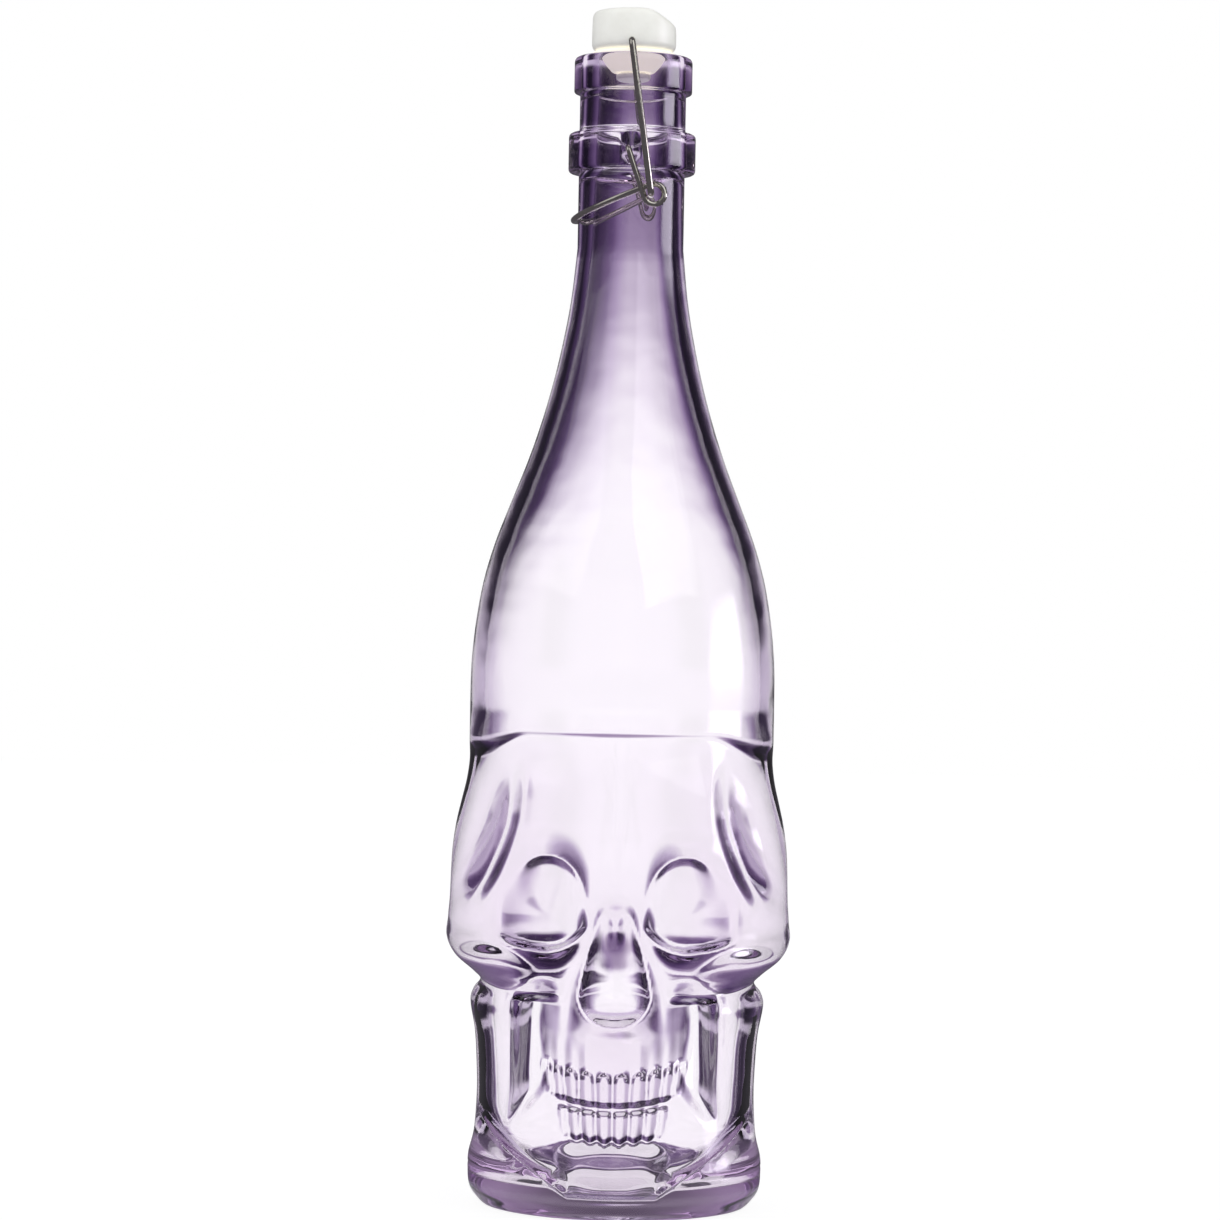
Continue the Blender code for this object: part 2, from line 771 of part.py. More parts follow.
def make_wire(name, path, radius, origin, material):
    curve = bpy.data.curves.new(name, "CURVE")
    curve.dimensions = "3D"
    curve.bevel_depth = radius
    curve.bevel_resolution = wire_sides_resolution
    curve.use_fill_caps = True
    spline = curve.splines.new("POLY")
    spline.points.add(len(path) - 1)
    for point, place in zip(spline.points, path):
        point.co = (*(place - origin), 1)
    curve.materials.append(material)
    item = bpy.data.objects.new(name, curve)
    item.location = origin
    bpy.context.collection.objects.link(item)
    return item


def lever_path():
    """Half of the lever wire: pin, leg, eye, arm and half of the bow round the neck."""
    centre = eye_middle - pivot
    reach = math.hypot(centre.x, centre.z)
    leg_turn = math.atan2(centre.z, centre.x) - math.asin(eye_radius / reach)
    first = leg_turn - math.pi / 2
    arm_turn = math.pi + math.atan(handle_slope)
    last = arm_turn - math.pi / 2
    touch = eye_middle + Vector((math.cos(first), 0, math.sin(first))) * eye_radius
    leg_end = Vector((touch.x, -lever_plane, touch.z))
    pin = [
        Vector((pivot.x, -pin_reach, pivot.z)),
        Vector((pivot.x, -lever_plane, pivot.z)),
        leg_end,
    ]
    path = fillet_path(pin, bend_radius)[:-1]
    for step in range(eye_steps + 1):
        share = step / eye_steps
        turn = first + (last - first) * share
        plane = lever_plane + (arm_plane - lever_plane) * share
        path.append(Vector((
            eye_middle.x + math.cos(turn) * eye_radius,
            -plane,
            eye_middle.z + math.sin(turn) * eye_radius,
        )))
    start = path[-1]
    bow_reach = neck_radius + lever_wire_radius + running_gap
    for step in range(handle_steps // 2 + 1):
        turn = math.pi / 2 * step / (handle_steps // 2)
        x = -math.sin(turn) * bow_reach
        path.append(Vector((x, -math.cos(turn) * arm_plane, start.z - handle_slope * (start.x - x))))
    return path


def make_lever(material):
    half = lever_path()
    return make_wire("lever_wire", half + mirror_path(half)[1:], lever_wire_radius, pivot, material)


def make_bail(material):
    """The upper wire, from eye to eye through the stopper."""
    rise = hole - eye_pin
    up = rise.normalized()
    shoulder = eye_pin + up * (rise.length - bail_shoulder_drop)
    half = [
        eye_pin + Vector((0, -bail_pin_reach, 0)),
        eye_pin + Vector((0, -bail_plane, 0)),
        shoulder + Vector((0, -bail_plane, 0)),
        hole + Vector((0, -head_radius - bend_radius, 0)),
    ]
    path = fillet_path(half + mirror_path(half), bend_radius)
    return make_wire("bail_wire", path, bail_wire_radius, eye_pin, material)


def make_stopper(material):
    """The rounded head with its cross hole, and the shank and knob that hold the seal."""
    low = glass_height + head_lift
    high = low + head_height
    knob_top = glass_height - seal_depth - running_gap
    outline = [
        (0, knob_top - knob_thickness),
        (knob_radius - knob_thickness / 3, knob_top - knob_thickness),
        (knob_radius, knob_top - knob_thickness / 2),
        (knob_radius, knob_top),
        (shank_radius, knob_top),
        (shank_radius, low),
        (head_radius - head_edge / 4, low),
        (head_radius, low + head_edge / 2),
        (head_radius, low + head_height * 0.45),
        (head_radius * 0.985, high - head_edge * 1.6),
        (head_radius - head_edge * 0.35, high - head_edge * 0.7),
        (head_radius - head_edge, high - head_edge * 0.2),
        (head_radius * 0.6, high),
        (0, high),
    ]
    mesh = spin_profile(outline, round_steps)
    slope = math.atan2(head_slope_drop, head_slope_reach)
    place = Vector((head_radius - head_slope_reach, 0, high))
    geometry = mesh.verts[:] + mesh.edges[:] + mesh.faces[:]
    cut = bmesh.ops.bisect_plane(
        mesh,
        geom=geometry,
        plane_co=place,
        plane_no=(math.sin(slope), 0, math.cos(slope)),
        clear_outer=True,
    )
    rim = [part for part in cut["geom_cut"] if isinstance(part, bmesh.types.BMEdge)]
    bmesh.ops.edgeloop_fill(mesh, edges=rim)
    head = finish_mesh(mesh, "stopper_head", material, hole)
    add_cut(head, hole_cutter())
    return head


def hole_cutter():
    mesh = bmesh.new()
    radius = bail_wire_radius + running_gap
    bmesh.ops.create_cone(
        mesh,
        cap_ends=True,
        segments=round_steps // 2,
        radius1=radius,
        radius2=radius,
        depth=head_radius * 3,
    )
    turn = Matrix.Rotation(math.pi / 2, 4, "X")
    bmesh.ops.transform(mesh, matrix=Matrix.Translation(hole) @ turn, verts=mesh.verts[:])
    return finish_cutter(mesh, "hole_cutter")


def make_seal(material):
    """The soft ring between the head and the lip, tapering into the bore."""
    low = glass_height - seal_depth
    inner = shank_radius + running_gap
    flange_low = glass_height + running_gap
    flange_high = glass_height + head_lift - running_gap
    plug_radius = bore_radius - running_gap
    outline = [
        (inner, low),
        (seal_tip_radius - running_gap, low),
        (seal_tip_radius, low + running_gap),
        (plug_radius, glass_height - bore_edge),
        (plug_radius, flange_low),
        (seal_flange_radius, flange_low),
        (seal_flange_radius, flange_high),
        (inner, flange_high),
        (inner, low),
    ]
    mesh = spin_profile(outline, round_steps)
    return finish_mesh(mesh, "seal_washer", material, hole)


def main():
    clear_scene()
    glass = make_material("lilac_glass", (0.80, 0.70, 0.88), 0.03, transmission=1)
    white = make_material("white_stopper", (0.86, 0.86, 0.83), 0.35)
    rubber = make_material("pale_seal", (0.78, 0.77, 0.72), 0.55)
    steel = make_material("wire_steel", (0.42, 0.41, 0.40), 0.22, metallic=1)
    make_bottle(glass)
    make_lever(steel)
    make_bail(steel)
    make_stopper(white)
    make_seal(rubber)


main()
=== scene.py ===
# Dresses the swing-top skull bottle: fine glass, wires, stopper and seal, in metres around the frame.
import json
import math

import bmesh
import bpy
from mathutils import Matrix, Vector


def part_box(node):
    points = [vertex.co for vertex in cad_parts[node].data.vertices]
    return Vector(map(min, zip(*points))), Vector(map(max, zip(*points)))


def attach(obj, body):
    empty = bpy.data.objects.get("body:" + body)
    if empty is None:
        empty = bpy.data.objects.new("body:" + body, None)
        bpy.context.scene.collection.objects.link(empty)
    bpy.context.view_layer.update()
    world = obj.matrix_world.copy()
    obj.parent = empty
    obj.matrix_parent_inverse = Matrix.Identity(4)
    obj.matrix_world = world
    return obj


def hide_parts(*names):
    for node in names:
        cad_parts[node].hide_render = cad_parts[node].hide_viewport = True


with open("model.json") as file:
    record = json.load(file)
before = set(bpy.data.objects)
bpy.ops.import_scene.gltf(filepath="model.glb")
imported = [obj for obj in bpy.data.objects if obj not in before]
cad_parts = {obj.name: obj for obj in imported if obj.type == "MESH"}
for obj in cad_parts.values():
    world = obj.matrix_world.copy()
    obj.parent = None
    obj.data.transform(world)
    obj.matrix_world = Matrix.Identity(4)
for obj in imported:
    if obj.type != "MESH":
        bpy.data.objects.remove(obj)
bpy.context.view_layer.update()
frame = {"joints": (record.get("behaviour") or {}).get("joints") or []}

# Sizes read from the frame
glass_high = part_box("bottle_glass")[1]
glass_height = glass_high.z
skull_half_width = glass_high.x
skull_half_depth = glass_high.y
joint_places = {joint["name"]: Vector(joint["pos_m"]) for joint in frame["joints"]}
pivot = joint_places["lever_swing"]
eye_pin = joint_places["bail_swing"]
hole = joint_places["stopper_tilt"]

# Bottle
skull_height = 0.1265
barrel_radius = 0.04045
barrel_height = 0.0195
barrel_start_share = 0.2
neck_radius = 0.0141
neck_length = 0.0510
lip_radius = 0.0157
lip_height = 0.0096
collar_radius = 0.0169
collar_height = 0.0106
collar_middle = pivot.z
collar_edge = 0.0015
bore_radius = 0.0092
bore_edge = 0.0008
wall = 0.0036
face_wall = 0.0056
floor_thickness = 0.0042
floor_corner_share = 0.84
foot_outer_radius = 0.0325
foot_inner_radius = 0.0290
punt_rise = 0.0125
chamber_low = 0.0080
foot_edge = 0.0012
ring_height = 0.0115
ring_radius = 0.0390
waist_share = 0.945
dimple_radius = 0.0025
dimple_depth = 0.0026
dimple_reach_share = 1.4
dimple_floor_share = 0.7
dimple_edge_share = 1.15
dimple_rim_share = 0.25
dimple_rim_height_share = 0.5

# Skull outline
top_flat_share = 0.35
top_flat_end_share = 0.85
jaw_flat_share = 0.40
jaw_flat_low_share = 0.4
jaw_flat_high_share = 0.5
line_low_share = 1.1
line_high_share = 1.9
line_side_share = 0.1
line_front_share = 0.5
face_side_share = 0.05
face_front_share = 0.35
inner_face_front_share = 0.3
relief_start_share = 0.5

# Skull relief
hairline_rise = 0.0006
hairline_bend_share = 0.75
hairline_side_share = 0.15
hairline_front_share = 0.75
hairline_step = 0.00085
hairline_width = 0.0027
temple_lower = 0.0022
temple_step = 0.0042
temple_start = 0.0230
temple_end = 0.0370
temple_drop = 0.0062
socket_offset = 0.0176
socket_middle = 0.0785
socket_inner_width = 0.0106
socket_outer_width = 0.0136
socket_top = 0.0160
socket_depth = 0.0086
socket_soft_power = 1.6
socket_crisp_power = 0.5
socket_top_share = 0.55
crisp_start_share = 0.3
crisp_full_share = 0.9
crisp_inner_share = 0.1
crisp_outer_share = 0.7
socket_shelf = 0.0708
shelf_inner_rise = 0.0062
shelf_outer_rise = 0.0030
shelf_half_height = 0.0010
brow_height = 0.0975
brow_half_height = 0.0065
brow_rise = 0.0003
brow_width_share = 1.2
bridge_half_width = 0.0100
bridge_height = 0.0830
bridge_half_height = 0.0140
bridge_rise = 0.0008
nose_middle = 0.0590
nose_half_width = 0.0092
nose_top = 0.0225
nose_bottom = 0.0080
nose_depth = 0.0094
nose_power = 1.00
nose_taper_share = 0.66
nose_taper_power = 1.3
nose_slope_share = 0.95
nose_top_start_share = 0.8
nose_top_end_share = 1.05
nose_bone_share = 0.85
nose_bone_half_width = 0.0024
nose_bone_end = 0.0740
nose_bone_blend = 0.0040
cheek_offset = 0.0325
cheek_height = 0.0645
cheek_half_width = 0.0130
cheek_half_height = 0.0072
cheek_rise = 0.0015
cheek_underside = 0.0578
underside_width = 0.0014
underside_fade_share = 6
hollow_offset = 0.0208
hollow_inner = 0.0080
hollow_outer = 0.0070
hollow_depth = 0.0085
hollow_low_inner = 0.0315
hollow_low_outer = 0.0247
hollow_low_width = 0.0034
hollow_low_share = 0.45
jaws_middle = 0.0262
jaws_radius = 0.0195
jaws_blend = 0.0026
jaws_edge_share = 0.96
bite_height = 0.0302
bite_bow = 0.0030
bite_gap = 0.0006
bite_start_share = 0.4
bite_end_share = 3
gum_height = 0.0096
gum_scallop_share = 0.16
gum_start_share = 0.84
gum_end_share = 1.08
tooth_width = 0.0048
tooth_rise = 0.0020
tooth_root_share = 0.15
crown_edge_power = 3.2
crown_power = 0.8
chin_half_width = 0.0115
chin_height = 0.0140
chin_half_height = 0.0085
chin_rise = 0.0040
chin_flare_share = 0.25
chin_power = 3.0
chin_dimple = 0.0140
chin_dimple_radius = 0.0034
chin_dimple_depth = 0.0022
jaw_line_low = 0.0072
jaw_line_high = 0.0215
jaw_line_end = 0.0320
jaw_line_width = 0.0013
groove_depth = 0.0062
groove_inner = 0.0024
groove_outer = 0.0105
inner_groove_softness = 1.8
groove_top = 0.1150
groove_top_share = 0.6
groove_low = 0.0800
arch_bone_height = 0.0700
arch_bone_half_height = 0.0055
arch_bone_rise = 0.0004
ramus_back = 0.0080
ramus_blend = 0.0060
nape_depth = 0.0030
nape_height = 0.0380
nape_half_height = 0.0220
nape_power = 4.0
inner_grow = 0.0016
inner_rounds = 12
inner_smoothing = 0.5
inner_jaw_square_share = 1.6
inner_head_square_share = -0.5
inner_nose_power = 0.9
inner_nose_share = 0.60
inner_hollow_share = 0.70
inner_groove_share = 0.80

# Closure
lever_wire_radius = 0.00080
bail_wire_radius = 0.00090
running_gap = 0.00035
eye_radius = 0.00275
eye_play = 0.00080
handle_slope = 0.405
head_radius = 0.0112
head_height = 0.0106
head_bend_share = 0.45
head_top_share = 0.985
head_slope_share = 0.4
head_lift = 0.0017
head_edge = 0.0020
head_slope_drop = 0.0036
head_slope_reach = 0.0066
shank_radius = 0.0034
knob_radius = 0.0046
knob_thickness = 0.0013
seal_flange_radius = 0.0110
seal_depth = 0.0042
seal_tip_radius = 0.0056
bend_radius = 0.0018
bail_shoulder_drop = 0.0012
lever_plane = max(collar_radius, lip_radius) + lever_wire_radius + running_gap
arm_plane = lever_plane - 2 * lever_wire_radius - running_gap
bail_plane = lever_plane + lever_wire_radius + bail_wire_radius + running_gap
pin_reach = collar_radius - dimple_depth + running_gap + lever_wire_radius / 2
bail_pin_reach = arm_plane - lever_wire_radius - running_gap
eye_middle = eye_pin + Vector((eye_play, 0, 0))

# Mesh densities
skull_columns = 240
upper_columns = 120
skull_row_height = 0.00060
longest_run = 0.0025
ring_steps = 24
shoulder_steps = 48
inner_shoulder_steps = 30
corner_reach_share = 0.45
corner_steps = 5
foot_corner_steps = 3
collar_corner_steps = 4
head_corner_steps = 6
seal_corner_steps = 3
column_even_share = 0.5
inner_row_height = 0.00150
eye_steps = 40
bow_steps = 20
bend_steps = 8
round_steps = 96
weld_distance = 1e-6
wire_bevel_resolution = 4
floor_segments = 64

# Finishes
glass_ior = 1.5
glass_tint = (0.62, 0.42, 0.68)
glass_tint_density = 32
# The glass's painted glow: lilac light given off in the base ring on rays past three inner
# reflections
glass_glow_colour = (0.80, 0.74, 0.86)
deep_count = 2.5
deep_glow = 0.22
glow_top_share = 1.6
glow_full_share = 0.8
glass_wave_scale = 45.0
glass_wave_detail = 2.0
glass_wave_depth = 0.00018
glass_speck_scale = 260.0
glass_speck_detail = 1.0
glass_roughness = (0.0, 0.03)
steel_dark = (0.50, 0.48, 0.42)
steel_light = (0.72, 0.70, 0.63)
steel_streak_scale = 900.0
steel_streak_detail = 4.0
steel_streak_depth = 0.00002
steel_roughness = (0.07, 0.16)
pale_grain_detail = 3.0
pale_grain_depth = 0.0001
floor_colour = (0.86, 0.86, 0.87)
floor_roughness = 0.8
floor_radius = 3.0
floor_glow = 1.08
floor_glow_share = 0.85

# Pale finishes: deep and pale colour, lowest and highest roughness, scale of the grain, strength of
# the painted glow
stopper_finish_and_painted_glow = ((0.80, 0.79, 0.72), (0.90, 0.90, 0.84), (0.28, 0.42), 320.0, 0.10)
seal_finish_and_painted_glow = ((0.74, 0.69, 0.58), (0.84, 0.80, 0.70), (0.45, 0.6), 500.0, 0.65)

# Room
plain_room_colour = (0.95, 0.96, 1.0)
plain_room_strength = 0.8
screen_turn = math.radians(3.5)
screen_strength = 1.18
softbox_strength = 8.0
room_colour = (0.92, 0.85, 1.00)
room_strength = 0.12
plate_radius = 0.042
plate_edge_share = 1.5
lamp_target = (0, 0, 0.15)
lamp_side = 1.2
key_place = (0.7, -0.8, 1.1)
key_watts = 4.0
fill_place = (-0.9, -0.5, 1.1)
fill_watts = 2.5

# Camera
image_side = 1220
metres_per_pixel = 0.0002664
camera_distance = 1.100
camera_height = 0.158
camera_azimuth = math.radians(1.1)
camera_roll = math.radians(1.03)
axis_column = 623.9

# The softbox's soft edges: axis of the light's direction, where it starts and where it is full
softbox_edges = [(0, 0.92, 0.98), (1, 0.30, 0.14), (2, -0.06, 0.08), (2, 0.30, 0.16)]

# Room colours that bent rays find, by the share of a half turn, or of the height for height_shades
dark = (0.026, 0.015, 0.040)
clear = (1, 1, 1)
screen_shades = [
    (0.001, clear), (0.028, clear), (0.041, (0.74, 0.67, 0.81)),
    (0.056, (0.38, 0.30, 0.46)), (0.085, (0.12, 0.08, 0.165)), (0.14, dark),
    (0.24, dark), (0.31, (0.26, 0.20, 0.32)), (0.40, (0.68, 0.62, 0.74)),
    (0.52, (0.80, 0.75, 0.85)), (0.57, (0.30, 0.24, 0.36)), (0.60, dark),
    (0.68, dark), (0.73, (0.40, 0.34, 0.46)), (0.78, (0.84, 0.79, 0.89)),
    (0.999, (0.90, 0.87, 0.94)),
]
height_shades = [
    (0.001, clear), (0.51, clear), (0.52, (0.88, 0.85, 0.90)),
    (0.53, (0.73, 0.67, 0.77)), (0.538, (0.52, 0.45, 0.57)), (0.557, (0.30, 0.23, 0.36)),
    (0.585, (0.19, 0.13, 0.25)), (0.74, (0.12, 0.08, 0.17)), (0.90, (0.90, 0.86, 0.96)),
    (0.999, clear),
]
edge_shades = [
    (0.001, clear), (0.06, clear), (0.12, (0.64, 0.58, 0.70)),
    (0.30, (0.50, 0.44, 0.56)), (0.999, (0.30, 0.24, 0.36)),
]
table_shades = [
    (0.001, clear), (0.055, clear), (0.075, (0.54, 0.47, 0.62)),
    (0.10, (0.16, 0.11, 0.21)), (0.14, dark), (0.24, dark),
    (0.31, (0.22, 0.16, 0.28)), (0.40, (0.52, 0.46, 0.58)), (0.54, (0.56, 0.50, 0.62)),
    (0.60, dark), (0.68, dark), (0.78, (0.60, 0.54, 0.66)),
    (0.999, (0.70, 0.65, 0.76)),
]
near_shades = [
    (0.001, (0.64, 0.56, 0.72)), (0.40, (0.42, 0.35, 0.50)), (0.999, (0.42, 0.35, 0.50)),
]

# Bands from the horizon down: height where each starts, height where it is full, and its shades
room_bands = [(0.09, 0.00, edge_shades), (-0.06, -0.11, table_shades), (-0.40, -0.55, near_shades)]

# The skull's outline: share of the skull's height, then the half width as a share of its greatest
width_shares = [
    (0.090, 0.861), (0.134, 0.833), (0.174, 0.818), (0.240, 0.810), (0.300, 0.815),
    (0.364, 0.828), (0.427, 0.857), (0.450, 0.840), (0.472, 0.800), (0.492, 0.850),
    (0.522, 0.950), (0.565, 0.998), (0.601, 0.997), (0.640, 0.989), (0.727, 0.981),
    (0.767, 0.971), (0.806, 0.954), (0.846, 0.929), (0.890, 0.901), (0.933, 0.886),
    (0.972, 0.889), (1.000, 0.889),
]

# The depth in front of the axis and behind it, as shares of the skull's half depth
front_shares = [
    (0.055, 0.885), (0.134, 0.870), (0.200, 0.858), (0.265, 0.852), (0.360, 0.852),
    (0.420, 0.862), (0.480, 0.885), (0.560, 0.895), (0.650, 0.915), (0.720, 0.945),
    (0.765, 0.962), (0.820, 0.950), (0.890, 0.926), (0.950, 0.900), (1.000, 0.879),
]
back_shares = [
    (0.090, 0.830), (0.134, 0.812), (0.240, 0.805), (0.340, 0.825), (0.430, 0.885),
    (0.520, 0.960), (0.620, 0.998), (0.720, 1.000), (0.820, 0.965), (0.910, 0.915),
    (1.000, 0.868),
]

# The shoulder from barrel to neck: share of its height, then of the radius left above the neck's
shoulder_shares = [
    (-0.10, 1.000), (-0.05, 0.998), (0.000, 0.988), (0.083, 0.953), (0.185, 0.880),
    (0.283, 0.763), (0.380, 0.611), (0.481, 0.452), (0.580, 0.319), (0.676, 0.212),
    (0.778, 0.121), (0.876, 0.053), (1.000, 0.000),
]

# The groove behind the temple: share of its height, then its place over the skull's half width
groove_shares = [
    (0.00, 0.810), (0.10, 0.775), (0.30, 0.694), (0.60, 0.604), (0.80, 0.580), (1.00, 0.568),
]

# The barrel of the jaws: share of the skull's height, then of the barrel's greatest radius
jaws_shares = [
    (0.10, 0.70), (0.16, 0.80), (0.21, 0.87), (0.26, 0.92), (0.32, 0.96), (0.40, 1.00), (0.50, 0.98),
]

# The dome under the bottle: share of the foot's inner radius, then of the dome's rise
punt_shares = [
    (0.00, 1.000), (0.30, 0.975), (0.52, 0.890), (0.70, 0.740), (0.84, 0.520), (0.94, 0.260),
]

# The base ring: share of its height, then of its radius
ring_shares = [(0.00, 0.880), (0.12, 0.925), (0.40, 0.985), (0.85, 1.000), (1.00, 0.996)]


# Shape functions

def soft_step(low, high, value):
    share = min(max((value - low) / (high - low), 0), 1)
    return share * share * (3 - 2 * share)


def soft_edge(middle, reach, value):
    """A soft step with its middle at a place."""
    return soft_step(middle - reach, middle + reach, value)


def curve_at(shares, place):
    """A smooth curve through a table of shares, read at a place."""
    count = len(shares)
    place = min(max(place, shares[0][0]), shares[-1][0])
    index = 0
    while index < count - 2 and place > shares[index + 1][0]:
        index += 1
    low, high = shares[index], shares[index + 1]
    before, after = shares[max(index - 1, 0)], shares[min(index + 2, count - 1)]
    span = high[0] - low[0]
    slope_low = (high[1] - before[1]) / (high[0] - before[0]) * span
    slope_high = (after[1] - low[1]) / (after[0] - low[0]) * span
    share = (place - low[0]) / span
    square, cube = share ** 2, share ** 3
    return (
        (2 * cube - 3 * square + 1) * low[1]
        + (cube - 2 * square + share) * slope_low
        + (3 * square - 2 * cube) * high[1]
        + (cube - square) * slope_high
    )


def dome(across, up, power=2.0):
    """A rounded bump: one in the middle, falling to zero at the edge of the unit oval."""
    edge = abs(across) ** power + abs(up) ** power
    return soft_step(0, 1, 1 - edge)


def dish(across, up, steepness):
    """A hollow with a crisp rim and a round floor."""
    edge = across ** 2 + up ** 2
    return max(1 - edge, 0) ** steepness


def ridge(distance, half_width):
    """One on a line, falling to zero at its half width."""
    return 1 - soft_step(0, half_width, abs(distance))


def socket_relief(x, z, grow):
    """The eye socket: it slopes in from a crisp brow, and a curved shelf cuts it off below."""
    half_width = grow + (socket_inner_width if x < socket_offset else socket_outer_width)
    across = (x - socket_offset) / half_width
    up = max(z - socket_middle, 0) / (socket_top + grow)
    edge = math.hypot(across, up)
    crisp = soft_step(crisp_start_share, crisp_full_share, up / edge) if up else 0
    crisp *= 1 - soft_step(crisp_inner_share, crisp_outer_share, across)
    bowl = dish(across, up, socket_soft_power + (socket_crisp_power - socket_soft_power) * crisp)
    rise = shelf_inner_rise if x < socket_offset else shelf_outer_rise
    shelf = socket_shelf - grow + rise * across ** 2
    fall = (socket_middle + socket_top - z) / (socket_middle + socket_top - shelf)
    cut = soft_edge(shelf, shelf_half_height, z)
    slope = socket_top_share + (1 - socket_top_share) * min(max(fall, 0), 1)
    return socket_depth * bowl * cut * slope


def nose_relief(x, z, grow, power):
    """The nose: a pear-shaped opening, split at its top by the end of the nose bone."""
    half_height = nose_top if z > nose_middle else nose_bottom
    up = (z - nose_middle) / (half_height + grow)
    if up < 0:
        return nose_depth * dish(x / (nose_half_width + grow), up, power)
    half_width = grow + nose_half_width * (1 - nose_taper_share * up ** nose_taper_power)
    bone = ridge(x, nose_bone_half_width) * (grow == 0)
    bone *= soft_edge(nose_bone_end, nose_bone_blend, z)
    top = 1 - soft_step(nose_top_start_share, nose_top_end_share, up)
    slope = 1 - nose_slope_share * up if grow == 0 else 1
    return nose_depth * dish(x / half_width, 0, power) * top * slope * (1 - nose_bone_share * bone)


def hollow_relief(x, z, grow):
    """The hollow under the cheekbone, between the jaws and the upright of the jawbone."""
    reach = (hollow_inner if x < hollow_offset else hollow_outer) + grow
    side = 1 - soft_step(0, reach, abs(x - hollow_offset))
    top = 1 - soft_edge(cheek_underside + grow * 2, underside_width, z)
    share = (x - hollow_offset) / hollow_outer
    low = hollow_low_inner + (hollow_low_outer - hollow_low_inner) * share
    fall = soft_edge(low, hollow_low_width, z)
    slope = hollow_low_share + (1 - hollow_low_share) * soft_step(low, cheek_underside, z)
    return hollow_depth * side * top * fall * slope


def groove_place(x, z):
    """How far out from the groove behind the temple a place lies."""
    share = (z - groove_low) / (groove_top - groove_low)
    return x - skull_half_width * curve_at(groove_shares, min(max(share, 0), 1))


def groove_relief(x, z, softness):
    """The groove behind the temple's crest, steep on the brow's side and gentle outside."""
    across = groove_place(x, z)
    inner = soft_edge(0, groove_inner * softness, across)
    outer = 1 - soft_step(0, groove_outer, across)
    top = 1 - soft_step(groove_top - groove_outer, groove_top + groove_outer * groove_top_share, z)
    low = soft_step(groove_low - groove_inner, groove_low + groove_outer, z)
    return groove_depth * inner * outer * top * low


def brow_relief(x, z):
    arc = brow_height - brow_half_height * ((x - socket_offset) / socket_inner_width) ** 2
    side = ridge(x - socket_offset, socket_outer_width * brow_width_share)
    return brow_rise * ridge(z - arc, brow_half_height) * side


def bridge_relief(x, z):
    return bridge_rise * ridge(x, bridge_half_width) * ridge(z - bridge_height, bridge_half_height)


def cheek_relief(x, z):
    across = (x - cheek_offset) / cheek_half_width
    return cheek_rise * dome(across, (z - cheek_height) / cheek_half_height)


def chin_relief(x, z):
    """The chin's flared mound, with a dimple at each end of its foot."""
    up = (z - chin_height) / chin_half_height
    half_width = chin_half_width * (1 + chin_flare_share * (1 + min(max(up, -1), 1)))
    mound = chin_rise * dome(x / half_width, up, chin_power)
    dimple = math.hypot(x - chin_dimple, z - jaw_line_low - chin_dimple_radius) / chin_dimple_radius
    return mound - chin_dimple_depth * (1 - soft_step(0, 1, dimple))


def jaw_line(x):
    """The height of the jaw's lower edge, from the chin out to its corner."""
    share = (x - chin_half_width) / (jaw_line_end - chin_half_width)
    return jaw_line_low + (jaw_line_high - jaw_line_low) * max(share, 0)


def tooth_lift(turn, z, bite):
    """How far a tooth stands out at a turn round the jaws, with the gums beyond its row."""
    up = abs(z - bite)
    share = abs(2 * (turn * jaws_radius / tooth_width % 1) - 1)
    gum = gum_height * (1 - gum_scallop_share * share)
    row = soft_step(bite_gap * bite_start_share, bite_gap * bite_end_share, up)
    row *= 1 - soft_step(gum * gum_start_share, gum * gum_end_share, up)
    root = (1 - soft_step(gum, gum * 2, up)) * (1 - row)
    crown = (1 - share ** crown_edge_power) ** crown_power
    return tooth_rise * (crown * row + tooth_root_share * (1 - share ** 2) * root)


def jaws_front(x, z):
    """How far forward the barrel of the jaws stands, with its teeth, or None beside it."""
    bite = bite_height + bite_bow * (x / jaws_radius) ** 2
    radius = jaws_radius * curve_at(jaws_shares, z / skull_height)
    if x >= radius:
        return None
    turn = math.asin(x / radius)
    radius += tooth_lift(turn, z, bite) * (1 - soft_step(jaws_edge_share, 1, x / radius))
    return jaws_middle + math.sqrt(max(radius ** 2 - x ** 2, 0))


def soft_larger(first, second, blend):
    """The larger of two, rounded where they meet."""
    gap = max(blend - abs(first - second), 0) / blend
    return max(first, second) + gap * gap * blend / 4


def front_depth(x, depth, z):
    """The finished depth of the face at a place, given that of the plain outline."""
    nose = nose_relief(x, z, 0, nose_power)
    bumps = brow_relief(x, z) + bridge_relief(x, z) + cheek_relief(x, z) + chin_relief(x, z)
    depth += bumps - socket_relief(x, z, 0) - hollow_relief(x, z, 0) - groove_relief(x, z, 1) - nose
    jaws = jaws_front(x, z)
    if jaws is None:
        return depth
    fade = 1 - soft_edge(cheek_underside, underside_width * underside_fade_share, z)
    low = soft_step(chin_height, gum_height * 2, z)
    return depth + (soft_larger(depth, jaws - nose, jaws_blend) - depth) * fade * low


def inner_depth(x, depth, z):
    """The chamber's wall behind the face, which only the larger hollows reach."""
    nose = nose_relief(x, z, inner_grow, inner_nose_power) * inner_nose_share
    hollows = max(socket_relief(x, z, inner_grow), nose)
    hollows += hollow_relief(x, z, inner_grow) * inner_hollow_share
    hollows += groove_relief(x, z, inner_groove_softness) * inner_groove_share
    thicker = (face_wall - wall) * soft_step(skull_height, skull_height - temple_drop, z)
    return depth - thicker - hollows


